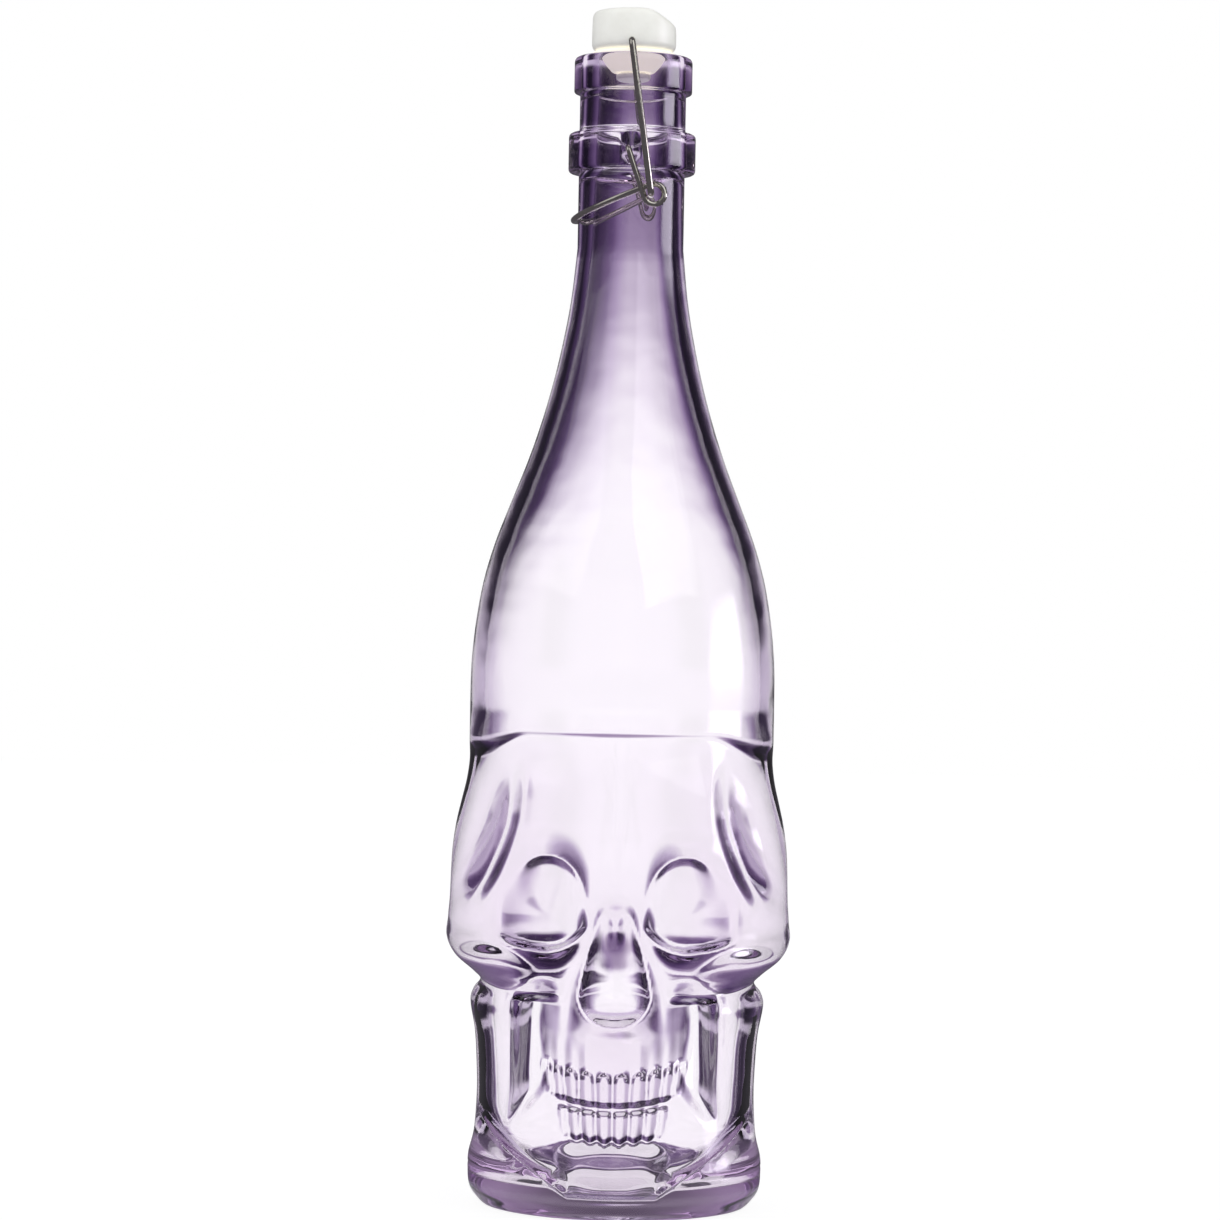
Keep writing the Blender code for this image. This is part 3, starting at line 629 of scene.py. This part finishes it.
def side_relief(y, z):
    """How far the sides draw in behind the jaw, and stand out along the cheekbone's arch."""
    behind = soft_edge(ramus_back, ramus_blend, y)
    nape = dome(0, (z - nape_height) / nape_half_height, nape_power)
    arch = ridge(z - arch_bone_height, arch_bone_half_height)
    arch *= 1 - soft_step(0, ramus_back * 2, y)
    return nape_depth * behind * nape - arch_bone_rise * arch


def plain_outline(angle, z, squareness):
    """A point of the skull's plain outline, before any relief."""
    place = z / skull_height
    ahead = max(math.cos(angle), 0)
    half_width = skull_half_width * curve_at(width_shares, place)
    depth = skull_half_depth * curve_at(front_shares if ahead else back_shares, place)
    ring = ring_radius * (curve_at(ring_shares, z / ring_height) if z < ring_height else 1)
    waist = soft_step(ring_height, ring_height * 2, z)
    ring -= (ring - waist_share * ring_radius) * waist
    line = jaw_line(ring_radius * abs(math.sin(angle)))
    low = ring_height * line_low_share
    high = ring_height * line_high_share
    front = soft_step(line_side_share, line_front_share, ahead)
    low += (line - jaw_line_width - low) * front
    high += (line + jaw_line_width - high) * front
    blend = soft_step(low, high, z)
    flat = top_flat_share * (1 - soft_step(top_flat_end_share, 1, place))
    flat += jaw_flat_share * (1 - soft_step(jaw_flat_low_share, jaw_flat_high_share, place))
    power = 2 + flat * ahead * blend * squareness
    across, along = math.sin(angle), -math.cos(angle)
    reach = (abs(across / half_width) ** power + abs(along / depth) ** power) ** (-1 / power)
    reach = ring + (reach - ring) * blend
    return across * reach, along * reach, blend


def hairline_shift(angle, z):
    """How far the rows near the top of the skull rise towards the middle of the brow."""
    near = soft_step(skull_height * hairline_bend_share, skull_height, z)
    near *= ridge(z - skull_height, skull_height * (1 - hairline_bend_share))
    ahead = max(math.cos(angle), 0)
    return hairline_rise * near * soft_step(hairline_side_share, hairline_front_share, ahead)


def hairline_relief(x, z):
    """How far the skull stands back under the barrel, more so above the temples."""
    share = soft_step(temple_start, temple_end, x)
    width = hairline_width + (temple_drop - hairline_width) * share
    step = hairline_step + (temple_step - hairline_step) * share
    line = skull_height - temple_lower * share
    return step * (1 - soft_step(line - width, line, z)) * soft_step(groove_low, groove_top, z)


def skull_point(angle, z):
    """A point of the skull's outer surface."""
    x, y, blend = plain_outline(angle, z, 1)
    ahead = soft_step(face_side_share, face_front_share, math.cos(angle)) * blend
    if ahead:
        y -= (front_depth(abs(x), -y, z) + y) * ahead
    x *= 1 - side_relief(y, z) * blend / skull_half_width
    y = max(y + hairline_relief(abs(x), z) * ahead, -skull_half_depth)
    return Vector((x, y, z + hairline_shift(angle, z)))


def inner_point(angle, z):
    """A point of the chamber's wall, which follows the skull at one thickness of glass."""
    head = soft_step(cheek_underside - jaws_blend, cheek_height, z)
    square_share = inner_jaw_square_share
    square_share += (inner_head_square_share - inner_jaw_square_share) * head
    x, y, blend = plain_outline(angle, z, square_share)
    scale = 1 - wall / math.hypot(x, y)
    x, y = x * scale, y * scale
    ahead = soft_step(0, inner_face_front_share, math.cos(angle)) * blend
    if ahead:
        y -= (inner_depth(abs(x), -y, z) + y) * ahead
    x *= 1 - side_relief(y, z) * blend / skull_half_width
    return Vector((x, y, z))


def spread_angle(angle):
    """Columns stand closer together over the face than at the back."""
    turn = angle / math.pi
    return math.pi * (column_even_share * turn + (1 - column_even_share) * turn ** 3)


# Mesh helpers

def round_point(angle, radius, height):
    return Vector((math.sin(angle) * radius, -math.cos(angle) * radius, height))


def spin_profile(outline, columns):
    """Turn an outline of (radius, height) pairs about the Z axis."""
    mesh = bmesh.new()
    runs = []
    for column in range(columns):
        angle = 2 * math.pi * column / columns
        runs.append([mesh.verts.new(round_point(angle, *place)) for place in outline])
    for run, after in zip(runs, runs[1:] + runs[:1]):
        for corners in zip(run, after, after[1:], run[1:]):
            mesh.faces.new(corners)
    bmesh.ops.remove_doubles(mesh, verts=mesh.verts[:], dist=weld_distance)
    return mesh


def add_object(name, data):
    item = bpy.data.objects.new(name, data)
    bpy.context.collection.objects.link(item)
    return item


def finish_piece(mesh, name, material, body, nodes):
    """Make a piece of a closed mesh, standing for its CAD nodes on their body."""
    bmesh.ops.recalc_face_normals(mesh, faces=mesh.faces[:])
    data = bpy.data.meshes.new(name)
    mesh.to_mesh(data)
    mesh.free()
    data.shade_smooth()
    return place_piece(add_object(name, data), material, body, nodes)


def place_piece(piece, material, body, nodes):
    """Give a piece its material, hang it on the body it rides, and hide the CAD nodes it stands for.
    """
    piece.data.materials.append(material)
    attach(piece, body)
    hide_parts(*nodes)
    return piece


def round_corner(back, corner, ahead, reach, steps):
    """Points of the arc between the two runs that leave a corner."""
    start = corner + back.normalized() * reach
    end = corner + ahead.normalized() * reach
    arc = []
    for step in range(steps + 1):
        share = step / steps
        arc.append(start.lerp(corner, share).lerp(corner.lerp(end, share), share))
    return arc


def rounded(outline, radius, steps):
    """An outline with every inner corner rounded to a radius, or less where a run is short."""
    points = [Vector(point) for point in outline]
    path = [points[0]]
    for before, corner, after in zip(points, points[1:], points[2:]):
        back, ahead = before - corner, after - corner
        reach = min(radius, back.length * corner_reach_share, ahead.length * corner_reach_share)
        path += round_corner(back, corner, ahead, reach, steps)
    path.append(points[-1])
    return [tuple(point) for point in path]


def split_runs(outline, longest):
    """The same outline, with points added along every long run."""
    path = [outline[0]]
    for start, end in zip(outline, outline[1:]):
        count = math.ceil(math.dist(start, end) / longest)
        for step in range(1, count + 1):
            path.append(tuple(a + (b - a) * step / count for a, b in zip(start, end)))
    return path


# Glass

def punt_outline(rise):
    """The dome under the bottle, from its middle out to the foot, lifted by a thickness."""
    outline = []
    for radius, height in punt_shares:
        outline.append((foot_inner_radius * radius, punt_rise * height + rise))
    return outline


def base_outline():
    """The underside and the base ring, from the middle outwards."""
    ring = []
    for step in range(1, ring_steps):
        share = step / ring_steps
        ring.append((ring_radius * curve_at(ring_shares, share), ring_height * share))
    foot = [(foot_inner_radius, 0), (foot_outer_radius, 0)]
    underside = rounded(punt_outline(0) + foot + ring[:1], foot_edge, foot_corner_steps)
    return underside + ring[1:]


def shoulder_outline(count):
    """The barrel and the shoulder up to the neck."""
    low = skull_height + barrel_height
    high = glass_height - neck_length
    first = shoulder_shares[0][0]
    outline = []
    for step in range(count + 1):
        share = first + (1 - first) * step / count
        radius = neck_radius + (barrel_radius - neck_radius) * curve_at(shoulder_shares, share)
        outline.append((radius, low + (high - low) * share))
    return outline


def collar_outline():
    """The ring round the neck that the lever wire turns in."""
    low = collar_middle - collar_height / 2
    high = collar_middle + collar_height / 2
    return [
        (neck_radius, low),
        (collar_radius, low),
        (collar_radius, high),
        (neck_radius, high),
    ]


def lip_outline():
    """The ring round the mouth, and the top of the bore."""
    low = glass_height - lip_height
    return [
        (neck_radius, low),
        (lip_radius, low),
        (lip_radius, glass_height),
        (bore_radius, glass_height),
        (bore_radius, low),
    ]


def upper_outline():
    """Everything above the skull: barrel, shoulder, neck, collar and lip, then down the inside."""
    outline = [(barrel_radius, skull_height + barrel_height * barrel_start_share)]
    outline += shoulder_outline(shoulder_steps)
    outline += rounded(collar_outline() + lip_outline(), collar_edge, collar_corner_steps)
    for radius, height in reversed(shoulder_outline(inner_shoulder_steps)):
        outline.append((radius - wall, height))
    return split_runs(outline, longest_run)


def chamber_outline():
    """The chamber inside the skull, from the barrel down to the middle of its floor."""
    count = round((skull_height - ring_height) / inner_row_height)
    outline = []
    for step in range(count + 1):
        height = skull_height + (ring_height - skull_height) * step / count
        outline.append((barrel_radius - wall, height))
    radius = ring_radius * waist_share - wall
    corner = [
        (radius, ring_height),
        (radius, chamber_low),
        (radius * floor_corner_share, chamber_low),
    ]
    corner += punt_outline(floor_thickness)[::-1]
    return outline + rounded(corner, wall, corner_steps)[1:]


def turned_verts(mesh):
    """Each vert off the axis, with its radius and its angle from straight ahead, respread."""
    for vert in mesh.verts:
        radius = math.hypot(vert.co.x, vert.co.y)
        if radius >= weld_distance:
            yield vert, radius, spread_angle(math.atan2(vert.co.x, -vert.co.y))


def press_dimples(vert):
    """Round cups in the collar's front and back, for the ends of the lever wire."""
    if abs(vert.co.z - collar_middle) > collar_height / 2:
        return
    distance = math.hypot(vert.co.x, vert.co.z - collar_middle)
    radius = math.hypot(vert.co.x, vert.co.y)
    if distance < dimple_radius * dimple_reach_share and radius > bore_radius + wall / 2:
        edge = dimple_radius * dimple_edge_share
        cup = 1 - soft_step(dimple_radius * dimple_floor_share, edge, distance)
        rim = ridge(distance - edge, dimple_radius * dimple_rim_share)
        depth = dimple_depth * cup - running_gap * rim * dimple_rim_height_share
        vert.co.y -= math.copysign(depth, vert.co.y)


def make_skull():
    """The outside of the base and the skull, open at its top."""
    count = round((skull_height - ring_height) / skull_row_height)
    outline = base_outline()
    for step in range(count + 1):
        outline.append((ring_radius, ring_height + (skull_height - ring_height) * step / count))
    skull = spin_profile(outline, skull_columns)
    relief_low = jaw_line_low * relief_start_share
    for vert, radius, angle in turned_verts(skull):
        if vert.co.z > relief_low and radius > foot_outer_radius:
            vert.co = skull_point(angle, vert.co.z)
        else:
            vert.co = round_point(angle, radius, vert.co.z)
    return skull


def make_upper():
    """The barrel, shoulder, neck and lip, and the whole inside down to the chamber's floor."""
    upper = spin_profile(upper_outline() + chamber_outline(), upper_columns)
    chamber = []
    for vert, radius, angle in turned_verts(upper):
        inside = abs(radius - barrel_radius + wall) < weld_distance
        if inside and vert.co.z < skull_height + weld_distance:
            vert.co = inner_point(angle, vert.co.z)
            chamber.append(vert)
        else:
            vert.co = round_point(angle, radius, vert.co.z)
            press_dimples(vert)
    for _ in range(inner_rounds):
        bmesh.ops.smooth_vert(
            upper,
            verts=chamber,
            factor=inner_smoothing,
            use_axis_x=True,
            use_axis_y=True,
            use_axis_z=True,
        )
    return upper


def make_bottle(material):
    """The one moulded piece of glass, its outside and inside joined at the top of the skull."""
    bottle = make_skull()
    upper = make_upper()
    data = bpy.data.meshes.new("upper")
    upper.to_mesh(data)
    upper.free()
    bottle.from_mesh(data)
    bpy.data.meshes.remove(data)
    boundary = [edge for edge in bottle.edges if edge.is_boundary]
    bmesh.ops.bridge_loops(bottle, edges=boundary)
    return finish_piece(bottle, "bottle", material, "bottle", ["bottle_glass"])


# Wires

def fillet_path(points, radius):
    """A path of straight runs, with an arc at each inner corner."""
    path = [points[0]]
    for before, corner, after in zip(points, points[1:], points[2:]):
        back, ahead = before - corner, after - corner
        half = back.angle(ahead) / 2
        reach = min(radius / math.tan(half), back.length / 2, ahead.length / 2)
        path += round_corner(back, corner, ahead, reach, bend_steps)
    path.append(points[-1])
    return path


def mirror_path(path):
    """The same path on the other side of the bottle, walked back."""
    return [Vector((point.x, -point.y, point.z)) for point in reversed(path)]


def make_wire(name, path, radius, material, body):
    curve = bpy.data.curves.new(name, "CURVE")
    curve.dimensions = "3D"
    curve.bevel_depth = radius
    curve.bevel_resolution = wire_bevel_resolution
    curve.use_fill_caps = True
    spline = curve.splines.new("POLY")
    spline.points.add(len(path) - 1)
    for point, place in zip(spline.points, path):
        point.co = (*place, 1)
    spline.use_smooth = True
    piece = add_object(name, curve)
    return place_piece(piece, material, body, [name.replace("_fine", "")])


def lever_path():
    """Half of the lever wire: pin, leg, eye, arm and half of the bow round the neck."""
    centre = eye_middle - pivot
    reach = math.hypot(centre.x, centre.z)
    leg_turn = math.atan2(centre.z, centre.x) - math.asin(eye_radius / reach)
    first = leg_turn - math.pi / 2
    arm_turn = math.pi + math.atan(handle_slope)
    last = arm_turn - math.pi / 2
    touch = eye_middle + Vector((math.cos(first), 0, math.sin(first))) * eye_radius
    pin = [
        Vector((pivot.x, -pin_reach, pivot.z)),
        Vector((pivot.x, -lever_plane, pivot.z)),
        Vector((touch.x, -lever_plane, touch.z)),
    ]
    path = fillet_path(pin, bend_radius)[:-1]
    for step in range(eye_steps + 1):
        share = step / eye_steps
        turn = first + (last - first) * share
        plane = lever_plane + (arm_plane - lever_plane) * share
        round_eye = Vector((math.cos(turn) * eye_radius, -plane, math.sin(turn) * eye_radius))
        path.append(Vector((eye_middle.x, 0, eye_middle.z)) + round_eye)
    start = path[-1]
    bow_reach = neck_radius + lever_wire_radius + running_gap
    for step in range(bow_steps + 1):
        turn = math.pi / 2 * step / bow_steps
        x = -math.sin(turn) * bow_reach
        drop = handle_slope * (start.x - x)
        path.append(Vector((x, -math.cos(turn) * arm_plane, start.z - drop)))
    return path


def make_lever(material):
    half = lever_path()
    path = half + mirror_path(half)[1:]
    return make_wire("lever_wire_fine", path, lever_wire_radius, material, "lever")


def make_bail(material):
    """The upper wire, from eye to eye through the stopper."""
    rise = hole - eye_pin
    shoulder = eye_pin + rise.normalized() * (rise.length - bail_shoulder_drop)
    half = [
        eye_pin + Vector((0, -bail_pin_reach, 0)),
        eye_pin + Vector((0, -bail_plane, 0)),
        shoulder + Vector((0, -bail_plane, 0)),
        hole + Vector((0, -head_radius - bend_radius, 0)),
    ]
    path = fillet_path(half + mirror_path(half), bend_radius)
    return make_wire("bail_wire_fine", path, bail_wire_radius, material, "bail")


# Stopper

def make_stopper(material):
    """The rounded head with its sloped side, and the shank and knob that hold the seal."""
    low = glass_height + head_lift
    high = low + head_height
    knob_top = glass_height - seal_depth - running_gap
    outline = [
        (0, knob_top - knob_thickness),
        (knob_radius, knob_top - knob_thickness),
        (knob_radius, knob_top),
        (shank_radius, knob_top),
        (shank_radius, low),
        (head_radius, low),
        (head_radius, low + head_height * head_bend_share),
        (head_radius * head_top_share, high),
        (0, high),
    ]
    mesh = spin_profile(rounded(outline, head_edge, head_corner_steps), round_steps)
    slope_start = head_radius - head_slope_reach
    slope_low = low + head_height * head_slope_share
    for vert in mesh.verts:
        if vert.co.z > slope_low and vert.co.x > slope_start - head_edge:
            over = soft_larger(vert.co.x - slope_start, 0, head_edge)
            share = (vert.co.z - slope_low) / (high - slope_low)
            vert.co.z -= over * head_slope_drop / head_slope_reach * share
    return finish_piece(mesh, "stopper", material, "stopper", ["stopper_head"])


def make_seal(material):
    """The soft ring between the head and the lip, tapering into the bore."""
    low = glass_height - seal_depth
    inner = shank_radius + running_gap
    flange_low = glass_height + running_gap
    flange_high = glass_height + head_lift - running_gap
    plug_radius = bore_radius - running_gap
    outline = [
        (inner, low),
        (seal_tip_radius, low),
        (plug_radius, glass_height - bore_edge),
        (plug_radius, flange_low),
        (seal_flange_radius, flange_low),
        (seal_flange_radius, flange_high),
        (inner, flange_high),
        (inner, low),
    ]
    outline = rounded(outline, running_gap, seal_corner_steps)
    mesh = spin_profile(outline[:-1] + [(inner, low)], round_steps)
    return finish_piece(mesh, "seal", material, "stopper", ["seal_washer"])


# Materials

def new_material(name):
    material = bpy.data.materials.new(name)
    material.use_nodes = True
    tree = material.node_tree
    return material, tree, tree.nodes["Principled BSDF"]


def feed(tree, node, values):
    """Set a node's inputs, or link them where the value is another node's output."""
    for name, value in values.items():
        if isinstance(value, bpy.types.NodeSocket):
            tree.links.new(value, node.inputs[name])
        else:
            node.inputs[name].default_value = value
    return node


def add_node(tree, kind, values={}):
    return feed(tree, tree.nodes.new("ShaderNode" + kind), values)


def math_node(tree, operation, *values):
    node = add_node(tree, "Math")
    node.operation = operation
    return feed(tree, node, dict(enumerate(values))).outputs[0]


def smooth_range(tree, source, low, high):
    """A smooth climb from zero to one between two values, or a fall where the first is higher."""
    climb = add_node(tree, "MapRange", {"Value": source, "From Min": low, "From Max": high})
    climb.interpolation_type = "SMOOTHSTEP"
    return climb.outputs["Result"]


def place_outputs(tree, space):
    """The three parts of a place or a direction."""
    place = add_node(tree, "TexCoord").outputs[space]
    return add_node(tree, "SeparateXYZ", {0: place}).outputs


def ramp(tree, source, shades):
    """Colours along a value from zero to one."""
    blend = add_node(tree, "ValToRGB", {"Fac": source})
    stops = blend.color_ramp.elements
    for share, colour in shades:
        stops.new(share).color = (*colour, 1)
    stops.remove(stops[-1])
    stops.remove(stops[0])
    return blend.outputs["Color"]


def mix_colours(tree, way, share, first, second):
    """Two colours mixed or multiplied by a share."""
    mix = add_node(tree, "Mix")
    mix.data_type = "RGBA"
    mix.blend_type = way
    return feed(tree, mix, {0: share, 6: first, 7: second}).outputs[2]


def object_noise(tree, scale, detail):
    """Noise that stays on the piece."""
    place = add_node(tree, "TexCoord").outputs["Object"]
    noise = add_node(tree, "TexNoise", {"Vector": place, "Scale": scale, "Detail": detail})
    return noise.outputs["Fac"]


def add_bump(tree, shader, noise, distance):
    bump = add_node(tree, "Bump", {"Height": noise, "Distance": distance, "Strength": 1})
    tree.links.new(bump.outputs["Normal"], shader.inputs["Normal"])


def vary_roughness(tree, shader, noise, roughness):
    """Let the roughness follow a noise, between its two ends."""
    low, high = roughness
    scaled = add_node(tree, "MapRange", {"Value": noise, "To Min": low, "To Max": high})
    tree.links.new(scaled.outputs["Result"], shader.inputs["Roughness"])


def vary_colour(tree, shader, noise, deep, pale):
    """Let the colour follow a noise, between its two ends."""
    colour = mix_colours(tree, "MIX", noise, (*deep, 1), (*pale, 1))
    tree.links.new(colour, shader.inputs["Base Color"])


def glass_material():
    """Clear lilac glass, tinted through its thickness, with a moulded surface's slight waves and a
    painted glow in its base ring.
    """
    material, tree, shader = new_material("tinted_glass")
    shader.inputs["Base Color"].default_value = (1, 1, 1, 1)
    shader.inputs["Transmission Weight"].default_value = 1
    shader.inputs["IOR"].default_value = glass_ior
    waves = object_noise(tree, glass_wave_scale, glass_wave_detail)
    add_bump(tree, shader, waves, glass_wave_depth)
    specks = object_noise(tree, glass_speck_scale, glass_speck_detail)
    vary_roughness(tree, shader, specks, glass_roughness)
    # Painted glow: the base ring gives off lilac light on rays that have made three or more inner
    # reflections
    tree.links.new(base_glow(tree), shader.inputs["Emission Strength"])
    shader.inputs["Emission Color"].default_value = (*glass_glow_colour, 1)
    values = {"Color": (*glass_tint, 1), "Density": glass_tint_density}
    tint = add_node(tree, "VolumeAbsorption", values)
    tree.links.new(tint.outputs["Volume"], tree.nodes["Material Output"].inputs["Volume"])
    return material


def base_glow(tree):
    """Painted light for rays caught deep in the base ring, standing in for the light that in real
    glass finds its way out.
    """
    path = add_node(tree, "LightPath")
    deep = math_node(tree, "GREATER_THAN", path.outputs["Glossy Depth"], deep_count)
    height = place_outputs(tree, "Object")[2]
    top = ring_height * glow_top_share
    base = smooth_range(tree, height, top, ring_height * glow_full_share)
    glow = math_node(tree, "MULTIPLY", base, deep_glow)
    return math_node(tree, "MULTIPLY", deep, glow)


def steel_material():
    """Bright drawn wire with fine streaks."""
    material, tree, shader = new_material("wire_steel")
    shader.inputs["Metallic"].default_value = 1
    streaks = object_noise(tree, steel_streak_scale, steel_streak_detail)
    vary_colour(tree, shader, streaks, steel_dark, steel_light)
    vary_roughness(tree, shader, streaks, steel_roughness)
    add_bump(tree, shader, streaks, steel_streak_depth)
    return material


def pale_material(name, deep, pale, roughness, grain, glow):
    """A pale moulded finish, with a painted glow in its own pale colour that lightens it where the
    lamps leave it dim.
    """
    material, tree, shader = new_material(name)
    mottle = object_noise(tree, grain, pale_grain_detail)
    vary_colour(tree, shader, mottle, deep, pale)
    # Painted glow: the piece gives off light in its own pale colour, most strongly on the seal
    shader.inputs["Emission Color"].default_value = (*pale, 1)
    shader.inputs["Emission Strength"].default_value = glow
    vary_roughness(tree, shader, mottle, roughness)
    add_bump(tree, shader, mottle, pale_grain_depth)
    return material


# Stage, light and camera

def make_floor():
    """A pale floor that is plain white to the eye and still takes the bottle's shadow."""
    mesh = bmesh.new()
    bmesh.ops.create_circle(mesh, cap_ends=True, segments=floor_segments, radius=floor_radius)
    data = bpy.data.meshes.new("floor")
    mesh.to_mesh(data)
    mesh.free()
    data.materials.append(floor_material())
    add_object("floor", data)


def floor_material():
    """Pale and matt, glowing white to the eye, and clear to bent rays away from the bottle's foot."""
    material, tree, shader = new_material("pale_floor")
    shader.inputs["Base Color"].default_value = (*floor_colour, 1)
    shader.inputs["Roughness"].default_value = floor_roughness
    glow = add_node(tree, "Emission", {"Strength": floor_glow})
    path = add_node(tree, "LightPath")
    bent = path.outputs["Is Transmission Ray"]
    watched = math_node(tree, "MAXIMUM", path.outputs["Is Camera Ray"], bent)
    share = math_node(tree, "MULTIPLY", watched, floor_glow_share)
    seen = mix_shaders(tree, share, shader, glow)
    through = math_node(tree, "MAXIMUM", path.outputs["Is Glossy Ray"], bent)
    reach = add_node(tree, "VectorMath", {0: add_node(tree, "TexCoord").outputs["Object"]})
    reach.operation = "LENGTH"
    plate_edge = plate_radius * plate_edge_share
    beyond = smooth_range(tree, reach.outputs["Value"], plate_radius, plate_edge)
    both = math_node(tree, "MULTIPLY", through, beyond)
    bare = mix_shaders(tree, both, seen, add_node(tree, "BsdfTransparent"))
    tree.links.new(bare.outputs[0], tree.nodes["Material Output"].inputs["Surface"])
    return material


def mix_shaders(tree, share, first, second):
    """The second shader over the first, by a share."""
    return add_node(tree, "MixShader", {0: share, 1: first.outputs[0], 2: second.outputs[0]})


def make_world():
    """White to the eye; the glass bends its rays to white panels, or to the dark between them."""
    world = bpy.data.worlds.new("studio")
    bpy.context.scene.world = world
    world.use_nodes = True
    tree = world.node_tree
    base = tree.nodes["Background"]
    base.inputs["Color"].default_value = (*plain_room_colour, 1)
    base.inputs["Strength"].default_value = plain_room_strength
    direction = place_outputs(tree, "Generated")
    bent = bent_room(tree, *direction)
    shine = mirrored_room(tree, direction)
    path = add_node(tree, "LightPath")
    layers = [
        (path.outputs["Is Glossy Ray"], shine),
        (path.outputs["Is Transmission Ray"], bent),
        (path.outputs["Is Camera Ray"], add_node(tree, "Background", {"Color": (1, 1, 1, 1)})),
    ]
    seen = base
    for test, background in layers:
        seen = mix_shaders(tree, test, seen, background)
    tree.links.new(seen.outputs[0], tree.nodes["World Output"].inputs["Surface"])


def half_turns(tree, turn):
    """How far a turn is to either side, as a share of a half turn."""
    return math_node(tree, "MULTIPLY", math_node(tree, "ABSOLUTE", turn), 1 / math.pi)


def bent_room(tree, across, along, height):
    """What rays through the glass find: a white screen, the table, and dark beside them."""
    turn = math_node(tree, "ARCTAN2", across, along)
    wall_turn = half_turns(tree, math_node(tree, "SUBTRACT", turn, screen_turn))
    level = math_node(tree, "MULTIPLY_ADD", height, 0.5, 0.5)
    screen = ramp(tree, wall_turn, screen_shades)
    room = mix_colours(tree, "MULTIPLY", 1, screen, ramp(tree, level, height_shades))
    for high, low, shades in room_bands:
        share = smooth_range(tree, height, high, low)
        room = mix_colours(tree, "MIX", share, room, ramp(tree, half_turns(tree, turn), shades))
    return add_node(tree, "Background", {"Color": room, "Strength": screen_strength})


def mirrored_room(tree, direction):
    """What the surfaces mirror: a dim room, with one softbox at the right."""
    softbox = 1
    for axis, start, full in softbox_edges:
        edge = smooth_range(tree, direction[axis], start, full)
        softbox = math_node(tree, "MULTIPLY", softbox, edge)
    glow = math_node(tree, "MULTIPLY_ADD", softbox, softbox_strength, room_strength)
    return add_node(tree, "Background", {"Color": (*room_colour, 1), "Strength": glow})


def add_lamp(name, place, watts):
    """A square lamp that looks at the bottle's middle."""
    lamp = bpy.data.lights.new(name, "AREA")
    lamp.size = lamp_side
    lamp.energy = watts
    item = add_object(name, lamp)
    item.location = place
    look = Vector(lamp_target) - Vector(place)
    item.rotation_euler = look.to_track_quat("-Z", "Y").to_euler()


def add_camera():
    """The photograph's viewpoint: level with the shoulder, a little to the right and rolled."""
    data = bpy.data.cameras.new("camera")
    data.sensor_fit = "HORIZONTAL"
    data.angle = 2 * math.atan(image_side / 2 * metres_per_pixel / camera_distance)
    camera = add_object("camera", data)
    right = Vector((math.cos(camera_azimuth), math.sin(camera_azimuth), 0))
    ahead = Vector((-math.sin(camera_azimuth), math.cos(camera_azimuth), 0))
    offset = (axis_column - image_side / 2) * metres_per_pixel
    place = -right * offset - ahead * camera_distance
    camera.location = (place.x, place.y, camera_height)
    look = ahead.to_track_quat("-Z", "Y").to_matrix()
    camera.rotation_euler = (look @ Matrix.Rotation(camera_roll, 3, "Z")).to_euler()
    bpy.context.scene.camera = camera


glass = glass_material()
steel = steel_material()
white = pale_material("white_stopper", *stopper_finish_and_painted_glow)
rubber = pale_material("pale_seal", *seal_finish_and_painted_glow)
make_bottle(glass)
make_lever(steel)
make_bail(steel)
make_stopper(white)
make_seal(rubber)
make_floor()
make_world()
add_lamp("key_lamp", key_place, key_watts)
add_lamp("fill_lamp", fill_place, fill_watts)
add_camera()
bpy.context.scene.view_settings.view_transform = "Standard"
